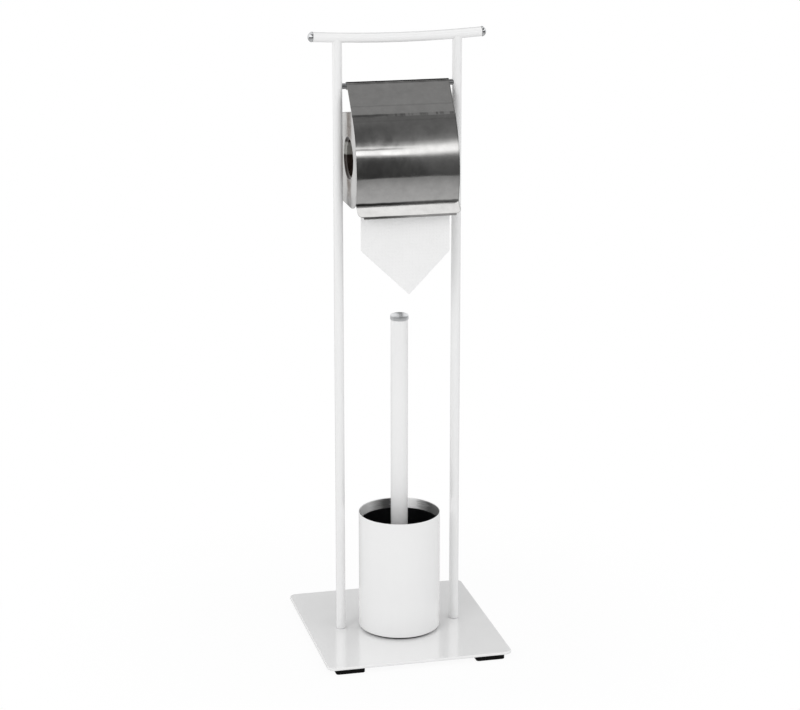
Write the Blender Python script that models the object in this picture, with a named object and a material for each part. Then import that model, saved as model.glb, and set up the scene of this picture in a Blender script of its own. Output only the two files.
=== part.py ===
"""Free-standing bathroom stand: a lidded toilet roll holder between two posts, over a toilet brush in its cup.

Metres, +Z up, +X to the right and -Y to the front. The origin is on the floor under the middle of the base plate.
The sizes start from the width and radius of the paper: the bracket holds the paper, the lid covers the bracket,
the posts stand beside the lid, and the top bar and the hinge rod join the posts.
"""

import math

import bmesh
import bpy

# Fits and cuts that all the pieces share
SEAT_GAP = 0.0003
CUT_OVERRUN = 0.002
MERGE_DISTANCE = 0.000001
WELD_DISTANCE = 0.0001
ROUND_STEPS = 32
SMALL_ROUND_STEPS = 16
CORNER_STEPS = 4
SMOOTH_ANGLE = math.radians(35)

# Base plate and its foot pads
BASE_WIDTH = 0.200
BASE_DEPTH = 0.216
BASE_THICKNESS = 0.003
BASE_CORNER_RADIUS = 0.008
BASE_EDGE_RADIUS = 0.0008
PAD_HEIGHT = 0.0047
PAD_SIDE = 0.031
PAD_CORNER_RADIUS = 0.003
PAD_EDGE_RADIUS = 0.0008
PAD_SIDE_INSET = 0.0085
PAD_END_INSET = 0.001
PLATE_BOTTOM = PAD_HEIGHT + SEAT_GAP
PLATE_TOP = PLATE_BOTTOM + BASE_THICKNESS

# Paper roll on its cardboard core
PAPER_WIDTH = 0.094
PAPER_RADIUS = 0.042
PAPER_PLAY = 0.004
PAPER_SHIFT = 0.002
CORE_BORE_RADIUS = 0.022
CORE_WALL = 0.001
TAIL_THICKNESS = 0.0006
TAIL_DROP = 0.090
TAIL_POINT_LENGTH = 0.047
TAIL_POINT_SHIFT = 0.004
TAIL_SKEW = 0.004

# Roll bracket: one bent sheet with a back and two cheeks, whose drawn hubs reach into the core
BRACKET_SHEET = 0.0012
BRACKET_BEND_RADIUS = 0.004
BACK_CLEARANCE = 0.005
CHEEK_ABOVE_HUB = 0.0480
CHEEK_BELOW_HUB = 0.0504
CHEEK_TOP_FALL = math.radians(9.5)
CHEEK_NOSE_LENGTH = 0.038
CHEEK_LID_CLEARANCE = 0.0004
HUB_MOUTH_RADIUS = 0.023
HUB_DRAW_RADIUS = 0.0035
HUB_DEPTH = 0.014
HUB_FLANGE = 0.001
HUB_FLANGE_INSET = 0.0003

# Lid: one bent sheet, from the eye round the hinge rod to the turned-out lip
LID_OVERHANG = 0.0021
LID_SHEET = 0.0008
LID_EYE_TURN = math.radians(308)
LID_SLOPE = math.radians(50)
LID_BEND = math.radians(4)
LID_BEND_RADIUS = 0.010
LID_ARC = math.radians(52)
LID_ARC_RADIUS = 0.100
LID_TAIL_CLEARANCE = 0.0008
LIP_TURN = math.radians(66)
LIP_BEND_RADIUS = 0.0012
LIP_LENGTH = 0.017
LIP_CORNER_RADIUS = 0.006
EYE_WINDOW_CLEARANCE = 0.003

# Hinge rod and the hanger that carries the bracket on it
ROD_RADIUS = 0.003
ROD_BELOW_BAR = 0.0485
HUB_BELOW_ROD = 0.0755
HANGER_WIDTH = 0.036
HANGER_SHEET = 0.0015
HANGER_FALL = math.radians(15)
HANGER_NOSE = 0.002
HANGER_BEND_RADIUS = 0.004
HANGER_LAP = 0.024
RIVET_SPACING = 0.020
RIVET_RADIUS = 0.002
RIVET_HEAD_RADIUS = 0.0036
RIVET_HEAD_HEIGHT = 0.0012
RIVET_BELOW_TOP = 0.012

# Posts, with a threaded plug in each foot and a screw from under the base plate
LID_POST_GAP = 0.0041
POST_RADIUS = 0.005
POST_WALL = 0.0013
ROD_END_SHORT = 0.0020
PLUG_LENGTH = 0.020
PLUG_BORE_DEPTH = 0.015
SCREW_RADIUS = 0.0024
SCREW_REACH = 0.013
SCREW_HEAD_RADIUS = 0.0044
SCREW_HEAD_HEIGHT = 0.0018

# Top bar, gently bowed with its ends up, and its end caps
BAR_HEIGHT = 0.651
BAR_OVERHANG = 0.0251
BAR_RADIUS = 0.005
BAR_RISE = 0.003
BAR_STEPS = 16
CAP_RADIUS = 0.0053
CAP_RIM = 0.0014
CAP_DOME = 0.0036
CAP_PLUG_RADIUS = 0.0034
CAP_PLUG_LENGTH = 0.006

# Brush cup with its foot ring and liner
CUP_FORWARD = 0.008
CUP_RADIUS = 0.0438
CUP_HEIGHT = 0.132
CUP_WALL = 0.001
CUP_EDGE_RADIUS = 0.002
RING_HEIGHT = 0.0016
RING_INSET = 0.0012
LINER_WALL = 0.0015
LINER_BELOW_RIM = 0.011
LINER_EDGE_RADIUS = 0.004

# Brush: handle and cap, neck, core and bristles
HEAD_LENGTH = 0.078
BRISTLE_CLEARANCE = 0.006
BRISTLE_CROWN = 0.012
BRUSH_CORE_RADIUS = 0.008
NECK_LENGTH = 0.014
NECK_RADIUS = 0.0065
NECK_COLLAR_HEIGHT = 0.003
NECK_PLUG_LENGTH = 0.012
HANDLE_RADIUS = 0.0092
HANDLE_WALL = 0.001
HANDLE_LENGTH = 0.2485
HANDLE_CAP_RADIUS = 0.0097
HANDLE_CAP_RIM = 0.0045
HANDLE_CAP_DOME = 0.0022
HANDLE_CAP_PLUG_LENGTH = 0.010

# Places that follow from those sizes
CHEEK_INNER_X = PAPER_WIDTH / 2 + PAPER_PLAY
CHEEK_OUTER_X = CHEEK_INNER_X + BRACKET_SHEET
LID_HALF_WIDTH = CHEEK_OUTER_X + LID_OVERHANG
POST_X = LID_HALF_WIDTH + LID_POST_GAP + POST_RADIUS
BAR_HALF_LENGTH = POST_X + BAR_OVERHANG
ROD_Z = BAR_HEIGHT - ROD_BELOW_BAR
HUB_Z = ROD_Z - HUB_BELOW_ROD
HUB_INNER_RADIUS = HUB_MOUTH_RADIUS - HUB_DRAW_RADIUS
HUB_OUTER_RADIUS = HUB_INNER_RADIUS + BRACKET_SHEET
ROLL_Z = HUB_Z + HUB_OUTER_RADIUS - CORE_BORE_RADIUS + SEAT_GAP
CORE_OUTER_RADIUS = CORE_BORE_RADIUS + CORE_WALL
BACK_Y = PAPER_RADIUS + BACK_CLEARANCE
TAIL_FRONT = PAPER_RADIUS + SEAT_GAP + TAIL_THICKNESS
EYE_RADIUS = ROD_RADIUS + SEAT_GAP + LID_SHEET / 2
CUP_BOTTOM = PLATE_TOP + SEAT_GAP + RING_HEIGHT + SEAT_GAP
CUP_RIM = PLATE_TOP + CUP_HEIGHT
LINER_BOTTOM = CUP_BOTTOM + CUP_WALL + SEAT_GAP
LINER_RADIUS = CUP_RADIUS - CUP_WALL - SEAT_GAP
HEAD_BOTTOM = LINER_BOTTOM + LINER_WALL + SEAT_GAP
HEAD_TOP = HEAD_BOTTOM + HEAD_LENGTH
HANDLE_BOTTOM = HEAD_TOP + NECK_LENGTH
HANDLE_TOP = HANDLE_BOTTOM + HANDLE_LENGTH

WHITE_ENAMEL = ("white_enamel", (0.86, 0.86, 0.85), 0.18, 0.0)
POLISHED_STEEL = ("polished_steel", (0.60, 0.59, 0.57), 0.16, 1.0)
PLAIN_STEEL = ("plain_steel", (0.52, 0.52, 0.53), 0.38, 1.0)
CHROME = ("chrome", (0.72, 0.73, 0.74), 0.06, 1.0)
BLACK_RUBBER = ("black_rubber", (0.020, 0.020, 0.021), 0.70, 0.0)
BLACK_PLASTIC = ("black_plastic", (0.012, 0.012, 0.013), 0.42, 0.0)
WHITE_PLASTIC = ("white_plastic", (0.80, 0.80, 0.79), 0.40, 0.0)
TISSUE = ("tissue", (0.90, 0.90, 0.89), 0.92, 0.0)
CARDBOARD = ("cardboard", (0.47, 0.36, 0.25), 0.88, 0.0)
BRISTLE = ("bristle", (0.86, 0.87, 0.88), 0.55, 0.0)


def clear_scene():
    for item in list(bpy.data.objects):
        bpy.data.objects.remove(item, do_unlink=True)


def material(spec):
    """The Principled material of this name, made on its first use."""
    name, colour, roughness, metallic = spec
    found = bpy.data.materials.get(name)
    if found:
        return found
    made = bpy.data.materials.new(name)
    made.use_nodes = True
    shader = made.node_tree.nodes["Principled BSDF"]
    shader.inputs["Base Color"].default_value = (*colour, 1)
    shader.inputs["Roughness"].default_value = roughness
    shader.inputs["Metallic"].default_value = metallic
    return made


def piece(name, shape, finish, place=(0, 0, 0), turn=(0, 0, 0), parent=None):
    """One sub-part from a bmesh, smooth where it is round."""
    bmesh.ops.recalc_face_normals(shape, faces=shape.faces)
    mesh = bpy.data.meshes.new(name)
    shape.to_mesh(mesh)
    shape.free()
    mesh.shade_smooth()
    mesh.set_sharp_from_angle(angle=SMOOTH_ANGLE)
    mesh.materials.append(material(finish))
    made = bpy.data.objects.new(name, mesh)
    made.location = place
    made.rotation_euler = turn
    made.parent = parent
    bpy.context.scene.collection.objects.link(made)
    return made


def pivot(name, place, parent=None):
    """An empty on a joint's axis or at an assembly's place."""
    made = bpy.data.objects.new(name, None)
    made.location = place
    made.parent = parent
    bpy.context.scene.collection.objects.link(made)
    return made


def combine(target, tool, operation):
    """Adds a live Boolean, and hides its tool from the renders."""
    tool.hide_render = True
    tool.display_type = "WIRE"
    boolean = target.modifiers.new(operation.lower() + " " + tool.name, "BOOLEAN")
    boolean.operation = operation
    boolean.object = tool
    boolean.solver = "EXACT"


def turned(section, steps=ROUND_STEPS):
    """A body turned about +Z from a section of (radius, height) points, listed from the axis back to the axis, or
    all the way round a section that stands clear of it."""
    shape = bmesh.new()
    corners = [shape.verts.new((radius, 0, height)) for radius, height in section]
    edges = [shape.edges.new(pair) for pair in zip(corners, corners[1:])]
    if section[0][0] > 0:
        edges.append(shape.edges.new((corners[-1], corners[0])))
    bmesh.ops.spin(shape, geom=corners + edges, axis=(0, 0, 1), angle=math.tau, steps=steps)
    bmesh.ops.remove_doubles(shape, verts=shape.verts, dist=MERGE_DISTANCE)
    return shape


def tube_section(inner, outer, low, high):
    return [(inner, low), (outer, low), (outer, high), (inner, high)]


def extruded(outline, low, high, along="Z"):
    """A prism of an outline: (x, y) points raised along Z, (y, z) points along X, or (x, z) points along Y."""
    shape = bmesh.new()
    place = {
        "X": lambda a, b, height: (height, a, b),
        "Y": lambda a, b, height: (a, height, b),
        "Z": lambda a, b, height: (a, b, height),
    }[along]
    face = shape.faces.new([shape.verts.new(place(a, b, low)) for a, b in outline])
    grown = bmesh.ops.extrude_face_region(shape, geom=[face])["geom"]
    moved = [item for item in grown if isinstance(item, bmesh.types.BMVert)]
    bmesh.ops.translate(shape, verts=moved, vec=place(0, 0, high - low))
    return shape


def skinned(rings):
    """A body over rings of as many points each, with a flat end at its first ring and at its last."""
    shape = bmesh.new()
    rows = [[shape.verts.new(point) for point in ring] for ring in rings]
    for one, two in zip(rows, rows[1:]):
        for k, start in enumerate(one):
            after = (k + 1) % len(one)
            shape.faces.new((start, one[after], two[after], two[k]))
    shape.faces.new(rows[0])
    shape.faces.new(rows[-1][::-1])
    return shape


def arc(radius, first, last, steps, centre=(0, 0)):
    """Points on an arc, from one angle to another."""
    angles = [first + (last - first) * k / steps for k in range(steps + 1)]
    return [(centre[0] + radius * math.cos(a), centre[1] + radius * math.sin(a)) for a in angles]


def rounded_rectangle(width, depth, radius):
    """The outline of a rectangle about the origin with rounded corners."""
    points = []
    for quarter, (side, end) in enumerate(((1, 1), (-1, 1), (-1, -1), (1, -1))):
        centre = (side * (width / 2 - radius), end * (depth / 2 - radius))
        start = quarter * math.pi / 2
        points += arc(radius, start, start + math.pi / 2, CORNER_STEPS, centre)
    return points


class Walk:
    """The middle line of a bent sheet in one plane, drawn by going straight and turning."""

    def __init__(self, start, heading):
        self.points = [start]
        self.headings = [heading]

    def straight(self, length):
        (a, b), heading = self.points[-1], self.headings[-1]
        self.points.append((a + length * math.cos(heading), b + length * math.sin(heading)))
        self.headings.append(heading)
        return self

    def turn(self, radius, angle, steps):
        """Turns left by a positive angle and right by a negative one."""
        (a, b), heading = self.points[-1], self.headings[-1]
        side = math.copysign(radius, angle)
        centre = (a - side * math.sin(heading), b + side * math.cos(heading))
        for k in range(1, steps + 1):
            now = heading + angle * k / steps
            self.points.append((centre[0] + side * math.sin(now), centre[1] - side * math.cos(now)))
            self.headings.append(now)
        return self

    def beside(self, distance):
        """The same line moved to its left by a distance, or to its right by a negative one."""
        return [(a - distance * math.sin(h), b + distance * math.cos(h))
                for (a, b), h in zip(self.points, self.headings)]

    def outline(self, thickness):
        return self.beside(thickness / 2) + self.beside(-thickness / 2)[::-1]


def lid_walk():
    """The lid's middle line as (y, z) about the rod: eye, flat, bend, arc and lip."""
    tangent = math.pi / 2 + LID_SLOPE
    start = tangent - LID_EYE_TURN
    walk = Walk((EYE_RADIUS * math.cos(start), EYE_RADIUS * math.sin(start)), start + math.pi / 2)
    walk.turn(EYE_RADIUS, LID_EYE_TURN, ROUND_STEPS)
    walk.straight(lid_flat_length())
    walk.turn(LID_BEND_RADIUS, LID_BEND, CORNER_STEPS // 2)
    walk.turn(LID_ARC_RADIUS, LID_ARC, ROUND_STEPS // 2)
    walk.turn(LIP_BEND_RADIUS, -LIP_TURN, CORNER_STEPS)
    walk.straight(LIP_LENGTH - LIP_CORNER_RADIUS)
    for k in range(1, CORNER_STEPS + 1):
        share = math.sin(math.pi / 2 * k / CORNER_STEPS) - math.sin(math.pi / 2 * (k - 1) / CORNER_STEPS)
        walk.straight(LIP_CORNER_RADIUS * share)
    return walk


def lid_flat_length():
    """The flat's length, which puts the crease just in front of the hanging paper."""
    crease = LID_SLOPE + LID_BEND + LID_ARC
    reach = TAIL_FRONT + LID_TAIL_CLEARANCE + LID_SHEET / 2 / math.sin(crease)
    eye = EYE_RADIUS * math.sin(LID_SLOPE)
    bend = LID_BEND_RADIUS * (math.sin(LID_SLOPE + LID_BEND) - math.sin(LID_SLOPE))
    front = LID_ARC_RADIUS * (math.sin(crease) - math.sin(LID_SLOPE + LID_BEND))
    return (reach - eye - bend - front) / math.cos(LID_SLOPE)


def make_base():
    plate = extruded(rounded_rectangle(BASE_WIDTH, BASE_DEPTH, BASE_CORNER_RADIUS), PLATE_BOTTOM, PLATE_TOP)
    rims = [e for e in plate.edges if abs(e.verts[0].co.z - e.verts[1].co.z) < MERGE_DISTANCE]
    bmesh.ops.bevel(plate, geom=rims, offset=BASE_EDGE_RADIUS, segments=2, profile=0.5, affect="EDGES")
    base = piece("base_plate", plate, WHITE_ENAMEL)
    sink = SCREW_HEAD_HEIGHT + SEAT_GAP
    clear = SCREW_RADIUS + SEAT_GAP
    wide = SCREW_HEAD_RADIUS + SEAT_GAP
    slope = (wide - clear) / sink
    hole = [
        (0, -CUT_OVERRUN),
        (wide + CUT_OVERRUN * slope, -CUT_OVERRUN),
        (clear, sink),
        (clear, BASE_THICKNESS + CUT_OVERRUN),
        (0, BASE_THICKNESS + CUT_OVERRUN),
    ]
    for side, x in (("left", -POST_X), ("right", POST_X)):
        cutter = piece("screw_hole_" + side, turned(hole, SMALL_ROUND_STEPS), PLAIN_STEEL, (x, 0, PLATE_BOTTOM))
        combine(base, cutter, "DIFFERENCE")
    pad_x = BASE_WIDTH / 2 - PAD_SIDE_INSET - PAD_SIDE / 2
    pad_y = BASE_DEPTH / 2 - PAD_END_INSET - PAD_SIDE / 2
    for end, y in (("front", -pad_y), ("rear", pad_y)):
        for side, x in (("left", -pad_x), ("right", pad_x)):
            pad = extruded(rounded_rectangle(PAD_SIDE, PAD_SIDE, PAD_CORNER_RADIUS), 0, PAD_HEIGHT)
            rims = [e for e in pad.edges if max(v.co.z for v in e.verts) < MERGE_DISTANCE]
            bmesh.ops.bevel(pad, geom=rims, offset=PAD_EDGE_RADIUS, segments=1, profile=0.5, affect="EDGES")
            piece(f"foot_pad_{end}_{side}", pad, BLACK_RUBBER, (x, y, 0))


def bar_arc_radius():
    """The radius of the bar's bow, from its chord and rise."""
    return (BAR_HALF_LENGTH ** 2 + BAR_RISE ** 2) / (2 * BAR_RISE)


def make_bar():
    """The bowed bar with a socket in each end, and the domed caps that plug them."""
    bow = bar_arc_radius()
    half_turn = math.asin(BAR_HALF_LENGTH / bow)
    rings = []
    for k in range(BAR_STEPS + 1):
        a = half_turn * (2 * k / BAR_STEPS - 1)
        rings.append([((bow - r) * math.sin(a), y, bow - (bow - r) * math.cos(a))
                      for y, r in arc(BAR_RADIUS, 0, math.tau, SMALL_ROUND_STEPS)[:-1]])
    bar = piece("top_bar", skinned(rings), WHITE_ENAMEL, (0, 0, BAR_HEIGHT))
    socket = [
        (0, -CAP_PLUG_LENGTH - SEAT_GAP),
        (CAP_PLUG_RADIUS + SEAT_GAP, -CAP_PLUG_LENGTH - SEAT_GAP),
        (CAP_PLUG_RADIUS + SEAT_GAP, CUT_OVERRUN),
        (0, CUT_OVERRUN),
    ]
    dome_radius = (CAP_RADIUS ** 2 + CAP_DOME ** 2) / (2 * CAP_DOME)
    dome_turn = math.asin(CAP_RADIUS / dome_radius)
    dome = [(dome_radius * math.sin(a), SEAT_GAP + CAP_RIM + CAP_DOME - dome_radius * (1 - math.cos(a)))
            for a in (dome_turn * (1 - k / CORNER_STEPS) for k in range(CORNER_STEPS + 1))]
    cap = [
        (0, -CAP_PLUG_LENGTH),
        (CAP_PLUG_RADIUS, -CAP_PLUG_LENGTH),
        (CAP_PLUG_RADIUS, SEAT_GAP),
        (CAP_RADIUS, SEAT_GAP),
    ] + dome[:-1] + [(0, dome[-1][1])]
    for side, sign in (("left", -1), ("right", 1)):
        place = (sign * BAR_HALF_LENGTH, 0, BAR_HEIGHT + BAR_RISE)
        turn = (0, sign * (math.pi / 2 - half_turn), 0)
        combine(bar, piece("cap_socket_" + side, turned(socket), PLAIN_STEEL, place, turn), "DIFFERENCE")
        piece("bar_cap_" + side, turned(cap), CHROME, place, turn)


def make_posts():
    """Tubes from the base plate to the bar, drilled for the hinge rod, with their plugs and screws."""
    bore = POST_RADIUS - POST_WALL
    bottom = PLATE_TOP + SEAT_GAP
    tube = tube_section(bore, POST_RADIUS, bottom, BAR_HEIGHT)
    plug_radius = bore - SEAT_GAP
    thread = SCREW_RADIUS + SEAT_GAP
    plug = [
        (0, PLUG_BORE_DEPTH),
        (thread, PLUG_BORE_DEPTH),
        (thread, 0),
        (plug_radius, 0),
        (plug_radius, PLUG_LENGTH),
        (0, PLUG_LENGTH),
    ]
    screw = [
        (0, 0),
        (SCREW_HEAD_RADIUS, 0),
        (SCREW_RADIUS, SCREW_HEAD_HEIGHT),
        (SCREW_RADIUS, BASE_THICKNESS + SCREW_REACH),
        (0, BASE_THICKNESS + SCREW_REACH),
    ]
    bow = bar_arc_radius()
    drop = bow - math.sqrt(bow ** 2 - POST_X ** 2)
    saddle_radius = BAR_RADIUS + SEAT_GAP
    tilt = math.asin(POST_X / bow)
    for side, sign in (("left", -1), ("right", 1)):
        post = piece("post_" + side, turned(tube), WHITE_ENAMEL, (sign * POST_X, 0, 0))
        reach = BAR_OVERHANG / 2
        saddle = turned([(0, -reach), (saddle_radius, -reach), (saddle_radius, reach), (0, reach)])
        seat = piece("bar_saddle_" + side, saddle, PLAIN_STEEL, (sign * POST_X, 0, BAR_HEIGHT + drop),
                     (0, math.pi / 2 - sign * tilt, 0))
        combine(post, seat, "DIFFERENCE")
        hole_radius = ROD_RADIUS + SEAT_GAP
        drill = turned([(0, 0), (hole_radius, 0), (hole_radius, POST_RADIUS + CUT_OVERRUN),
                        (0, POST_RADIUS + CUT_OVERRUN)], SMALL_ROUND_STEPS)
        turn = (0, -sign * math.pi / 2, 0)
        hole = piece("rod_hole_" + side, drill, PLAIN_STEEL, (sign * POST_X, 0, ROD_Z), turn)
        combine(post, hole, "DIFFERENCE")
        piece("post_plug_" + side, turned(plug, SMALL_ROUND_STEPS), PLAIN_STEEL, (sign * POST_X, 0, bottom))
        piece("base_screw_" + side, turned(screw, SMALL_ROUND_STEPS), PLAIN_STEEL, (sign * POST_X, 0, PLATE_BOTTOM))


def make_hinge_rod():
    half = POST_X + ROD_RADIUS - ROD_END_SHORT + SEAT_GAP
    rod = [(0, -half), (ROD_RADIUS, -half), (ROD_RADIUS, half), (0, half)]
    piece("hinge_rod", turned(rod), CHROME, (0, 0, ROD_Z), (0, math.pi / 2, 0))


def make_lid(hinge):
    """The bent sheet, with its eye cut away in the middle where the hanger meets the rod."""
    walk = lid_walk()
    rings = []
    corner_start = len(walk.points) - 1 - CORNER_STEPS
    for k, (inner, outer) in enumerate(zip(walk.beside(LID_SHEET / 2), walk.beside(-LID_SHEET / 2))):
        turn = math.pi / 2 * max(k - corner_start, 0) / CORNER_STEPS
        half = LID_HALF_WIDTH - LIP_CORNER_RADIUS * (1 - math.cos(turn))
        rings.append([(-half, *inner), (half, *inner), (half, *outer), (-half, *outer)])
    lid = piece("lid", skinned(rings), POLISHED_STEEL, parent=hinge)
    half = HANGER_WIDTH / 2 + EYE_WINDOW_CLEARANCE
    wide = EYE_RADIUS + LID_SHEET / 2 + CUT_OVERRUN
    near = EYE_RADIUS + LID_SHEET / 2
    window = [(-near, -wide), (wide, -wide), (wide, wide), (0, wide), (0, 0), (-near, 0)]
    combine(lid, piece("eye_window", extruded(window, -half, half, "X"), PLAIN_STEEL, parent=hinge), "DIFFERENCE")


def cheek_outline():
    """The cheek's side view as (y, z): its front follows the inside of the closed lid down to where that stands
    upright, and its nose is a quarter of an ellipse from there to the bottom edge."""
    rear = BACK_Y + BRACKET_SHEET + CUT_OVERRUN
    top = HUB_Z + CHEEK_ABOVE_HUB
    bottom = HUB_Z - CHEEK_BELOW_HUB
    fall = math.tan(CHEEK_TOP_FALL)
    walk = lid_walk()
    inside = [(y, z + ROD_Z) for y, z in walk.beside(LID_SHEET / 2 + CHEEK_LID_CLEARANCE)]
    upright = min(range(len(inside)), key=lambda k: abs(walk.headings[k] - math.pi * 3 / 2))
    front = [(y, z) for y, z in inside[ROUND_STEPS + 1:upright + 1] if z < top - fall * y]
    slope = math.tan(LID_SLOPE)
    start_y, start_z = inside[ROUND_STEPS]
    meet_y = (top - start_z + slope * start_y) / (slope + fall)
    front_y, front_z = front[-1]
    quarter = [math.pi / 2 * k / CORNER_STEPS for k in range(1, CORNER_STEPS + 1)]
    nose = [(front_y + CHEEK_NOSE_LENGTH * (1 - math.cos(a)), front_z - (front_z - bottom) * math.sin(a))
            for a in quarter]
    return [(rear, top - fall * rear), (meet_y, top - fall * meet_y)] + front + nose + [(rear, bottom)]


def make_bracket():
    """The bracket's bent sheet, trimmed to the cheeks' side view and pierced for the hubs."""
    middle_x = CHEEK_INNER_X + BRACKET_SHEET / 2
    middle_y = BACK_Y + BRACKET_SHEET / 2
    bend = BRACKET_BEND_RADIUS
    front = -TAIL_FRONT - LID_ARC_RADIUS * (1 - math.cos(LID_ARC / 2))
    walk = Walk((-middle_x, front), math.pi / 2)
    walk.straight(middle_y - bend - front).turn(bend, -math.pi / 2, CORNER_STEPS)
    walk.straight(2 * (middle_x - bend)).turn(bend, -math.pi / 2, CORNER_STEPS)
    walk.straight(middle_y - bend - front)
    outline = cheek_outline()
    low = min(z for _, z in outline) - CUT_OVERRUN
    high = max(z for _, z in outline) + CUT_OVERRUN
    bracket = piece("roll_bracket", extruded(walk.outline(BRACKET_SHEET), low, high), POLISHED_STEEL)
    wide = CHEEK_OUTER_X + CUT_OVERRUN
    combine(bracket, piece("cheek_shape", extruded(outline, -wide, wide, "X"), PLAIN_STEEL), "INTERSECT")
    hole_radius = HUB_MOUTH_RADIUS + HUB_FLANGE / 2
    hole = [(0, -wide), (hole_radius, -wide), (hole_radius, wide), (0, wide)]
    cutter = piece("hub_hole", turned(hole, ROUND_STEPS), PLAIN_STEEL, (0, 0, HUB_Z), (0, math.pi / 2, 0))
    combine(bracket, cutter, "DIFFERENCE")
    return bracket


def add_hubs(bracket):
    """Joins both drawn hubs to the bracket, as one mirrored shape."""
    steps = [math.pi / 2 * k / CORNER_STEPS for k in range(CORNER_STEPS + 1)]
    back = HUB_DRAW_RADIUS - BRACKET_SHEET
    face = -CHEEK_OUTER_X
    low, high = face + HUB_FLANGE_INSET, face + BRACKET_SHEET - HUB_FLANGE_INSET
    flange = HUB_MOUTH_RADIUS + HUB_FLANGE
    mouth = [(HUB_MOUTH_RADIUS - HUB_DRAW_RADIUS * math.sin(a), face + HUB_DRAW_RADIUS * (1 - math.cos(a)))
             for a in steps]
    hidden = [(HUB_MOUTH_RADIUS - back * math.sin(a), face + HUB_DRAW_RADIUS - back * math.cos(a)) for a in steps]
    end = face + HUB_DEPTH
    rim = [(HUB_INNER_RADIUS, end), (HUB_OUTER_RADIUS, end)]
    hub = [(flange, low)] + mouth + rim + hidden[::-1] + [(flange, high)]
    hubs =piece("drawn_hubs", turned(hub), POLISHED_STEEL, (0, 0, HUB_Z), (0, math.pi / 2, 0))
    mirror = hubs.modifiers.new("other side", "MIRROR")
    mirror.use_axis = (False, False, True)
    mirror.use_mirror_merge = False
    weld = bracket.modifiers.new("weld", "WELD")
    weld.merge_threshold = WELD_DISTANCE
    combine(bracket, hubs, "UNION")


def hanger_walk():
    """The hanger's middle line as (y, z): under the rod, back and down, then down behind the bracket."""
    reach = ROD_RADIUS + SEAT_GAP + HANGER_SHEET / 2
    lean = HANGER_FALL
    foot = (-reach * math.sin(lean), ROD_Z - reach * math.cos(lean))
    start = (foot[0] - HANGER_NOSE * math.cos(lean), foot[1] + HANGER_NOSE * math.sin(lean))
    leg_y = BACK_Y + BRACKET_SHEET + SEAT_GAP + HANGER_SHEET / 2
    bend = math.pi / 2 - lean
    run = (leg_y - start[0] - HANGER_BEND_RADIUS * (1 - math.sin(lean))) / math.cos(lean)
    walk = Walk(start, -lean).straight(run).turn(HANGER_BEND_RADIUS, -bend, CORNER_STEPS)
    return walk.straight(walk.points[-1][1] - bracket_back_top() + HANGER_LAP)


def bracket_back_top():
    """The height of the bracket's top edge at its back."""
    return HUB_Z + CHEEK_ABOVE_HUB - math.tan(CHEEK_TOP_FALL) * BACK_Y


def make_hanger(bracket):
    """The strap that carries the bracket on the rod, and the rivets that join the two."""
    half = HANGER_WIDTH / 2
    strap = piece("hanger", extruded(hanger_walk().outline(HANGER_SHEET), -half, half, "X"), POLISHED_STEEL)
    rivet_z = bracket_back_top() - RIVET_BELOW_TOP
    grip = BRACKET_SHEET + SEAT_GAP + HANGER_SHEET
    front, rear = -SEAT_GAP, grip + SEAT_GAP
    rivet = [
        (0, front - RIVET_HEAD_HEIGHT),
        (RIVET_HEAD_RADIUS / 2, front - RIVET_HEAD_HEIGHT),
        (RIVET_HEAD_RADIUS, front),
        (RIVET_RADIUS, front),
        (RIVET_RADIUS, rear),
        (RIVET_HEAD_RADIUS, rear),
        (RIVET_HEAD_RADIUS / 2, rear + RIVET_HEAD_HEIGHT),
        (0, rear + RIVET_HEAD_HEIGHT),
    ]
    clear = RIVET_RADIUS + SEAT_GAP
    hole = [(0, -CUT_OVERRUN), (clear, -CUT_OVERRUN), (clear, grip + CUT_OVERRUN), (0, grip + CUT_OVERRUN)]
    for side, sign in (("left", -1), ("right", 1)):
        place = (sign * RIVET_SPACING / 2, BACK_Y, rivet_z)
        turn = (-math.pi / 2, 0, 0)
        piece("hanger_rivet_" + side, turned(rivet, SMALL_ROUND_STEPS), PLAIN_STEEL, place, turn)
        cutter = piece("rivet_hole_" + side, turned(hole, SMALL_ROUND_STEPS), PLAIN_STEEL, place, turn)
        combine(strap, cutter, "DIFFERENCE")
        combine(bracket, cutter, "DIFFERENCE")


def make_paper(roll):
    """The cardboard core and the paper on it, which turn together, and the sheet that hangs in front."""
    half = PAPER_WIDTH / 2
    turn = (0, math.pi / 2, 0)
    core = tube_section(CORE_BORE_RADIUS, CORE_OUTER_RADIUS, -half, half)
    piece("paper_core", turned(core), CARDBOARD, turn=turn, parent=roll)
    paper = tube_section(CORE_OUTER_RADIUS + SEAT_GAP, PAPER_RADIUS, -half, half)
    piece("paper_roll", turned(paper), TISSUE, turn=turn, parent=roll)
    foot = ROLL_Z - TAIL_DROP
    tail = [
        (-half, ROLL_Z),
        (half, ROLL_Z),
        (half, foot - TAIL_SKEW / 2),
        (TAIL_POINT_SHIFT, foot - TAIL_POINT_LENGTH),
        (-half, foot + TAIL_SKEW / 2),
    ]
    sheet = extruded(tail, -TAIL_FRONT, -TAIL_FRONT + TAIL_THICKNESS, "Y")
    piece("paper_tail", sheet, TISSUE, (-PAPER_SHIFT, 0, 0))


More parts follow.
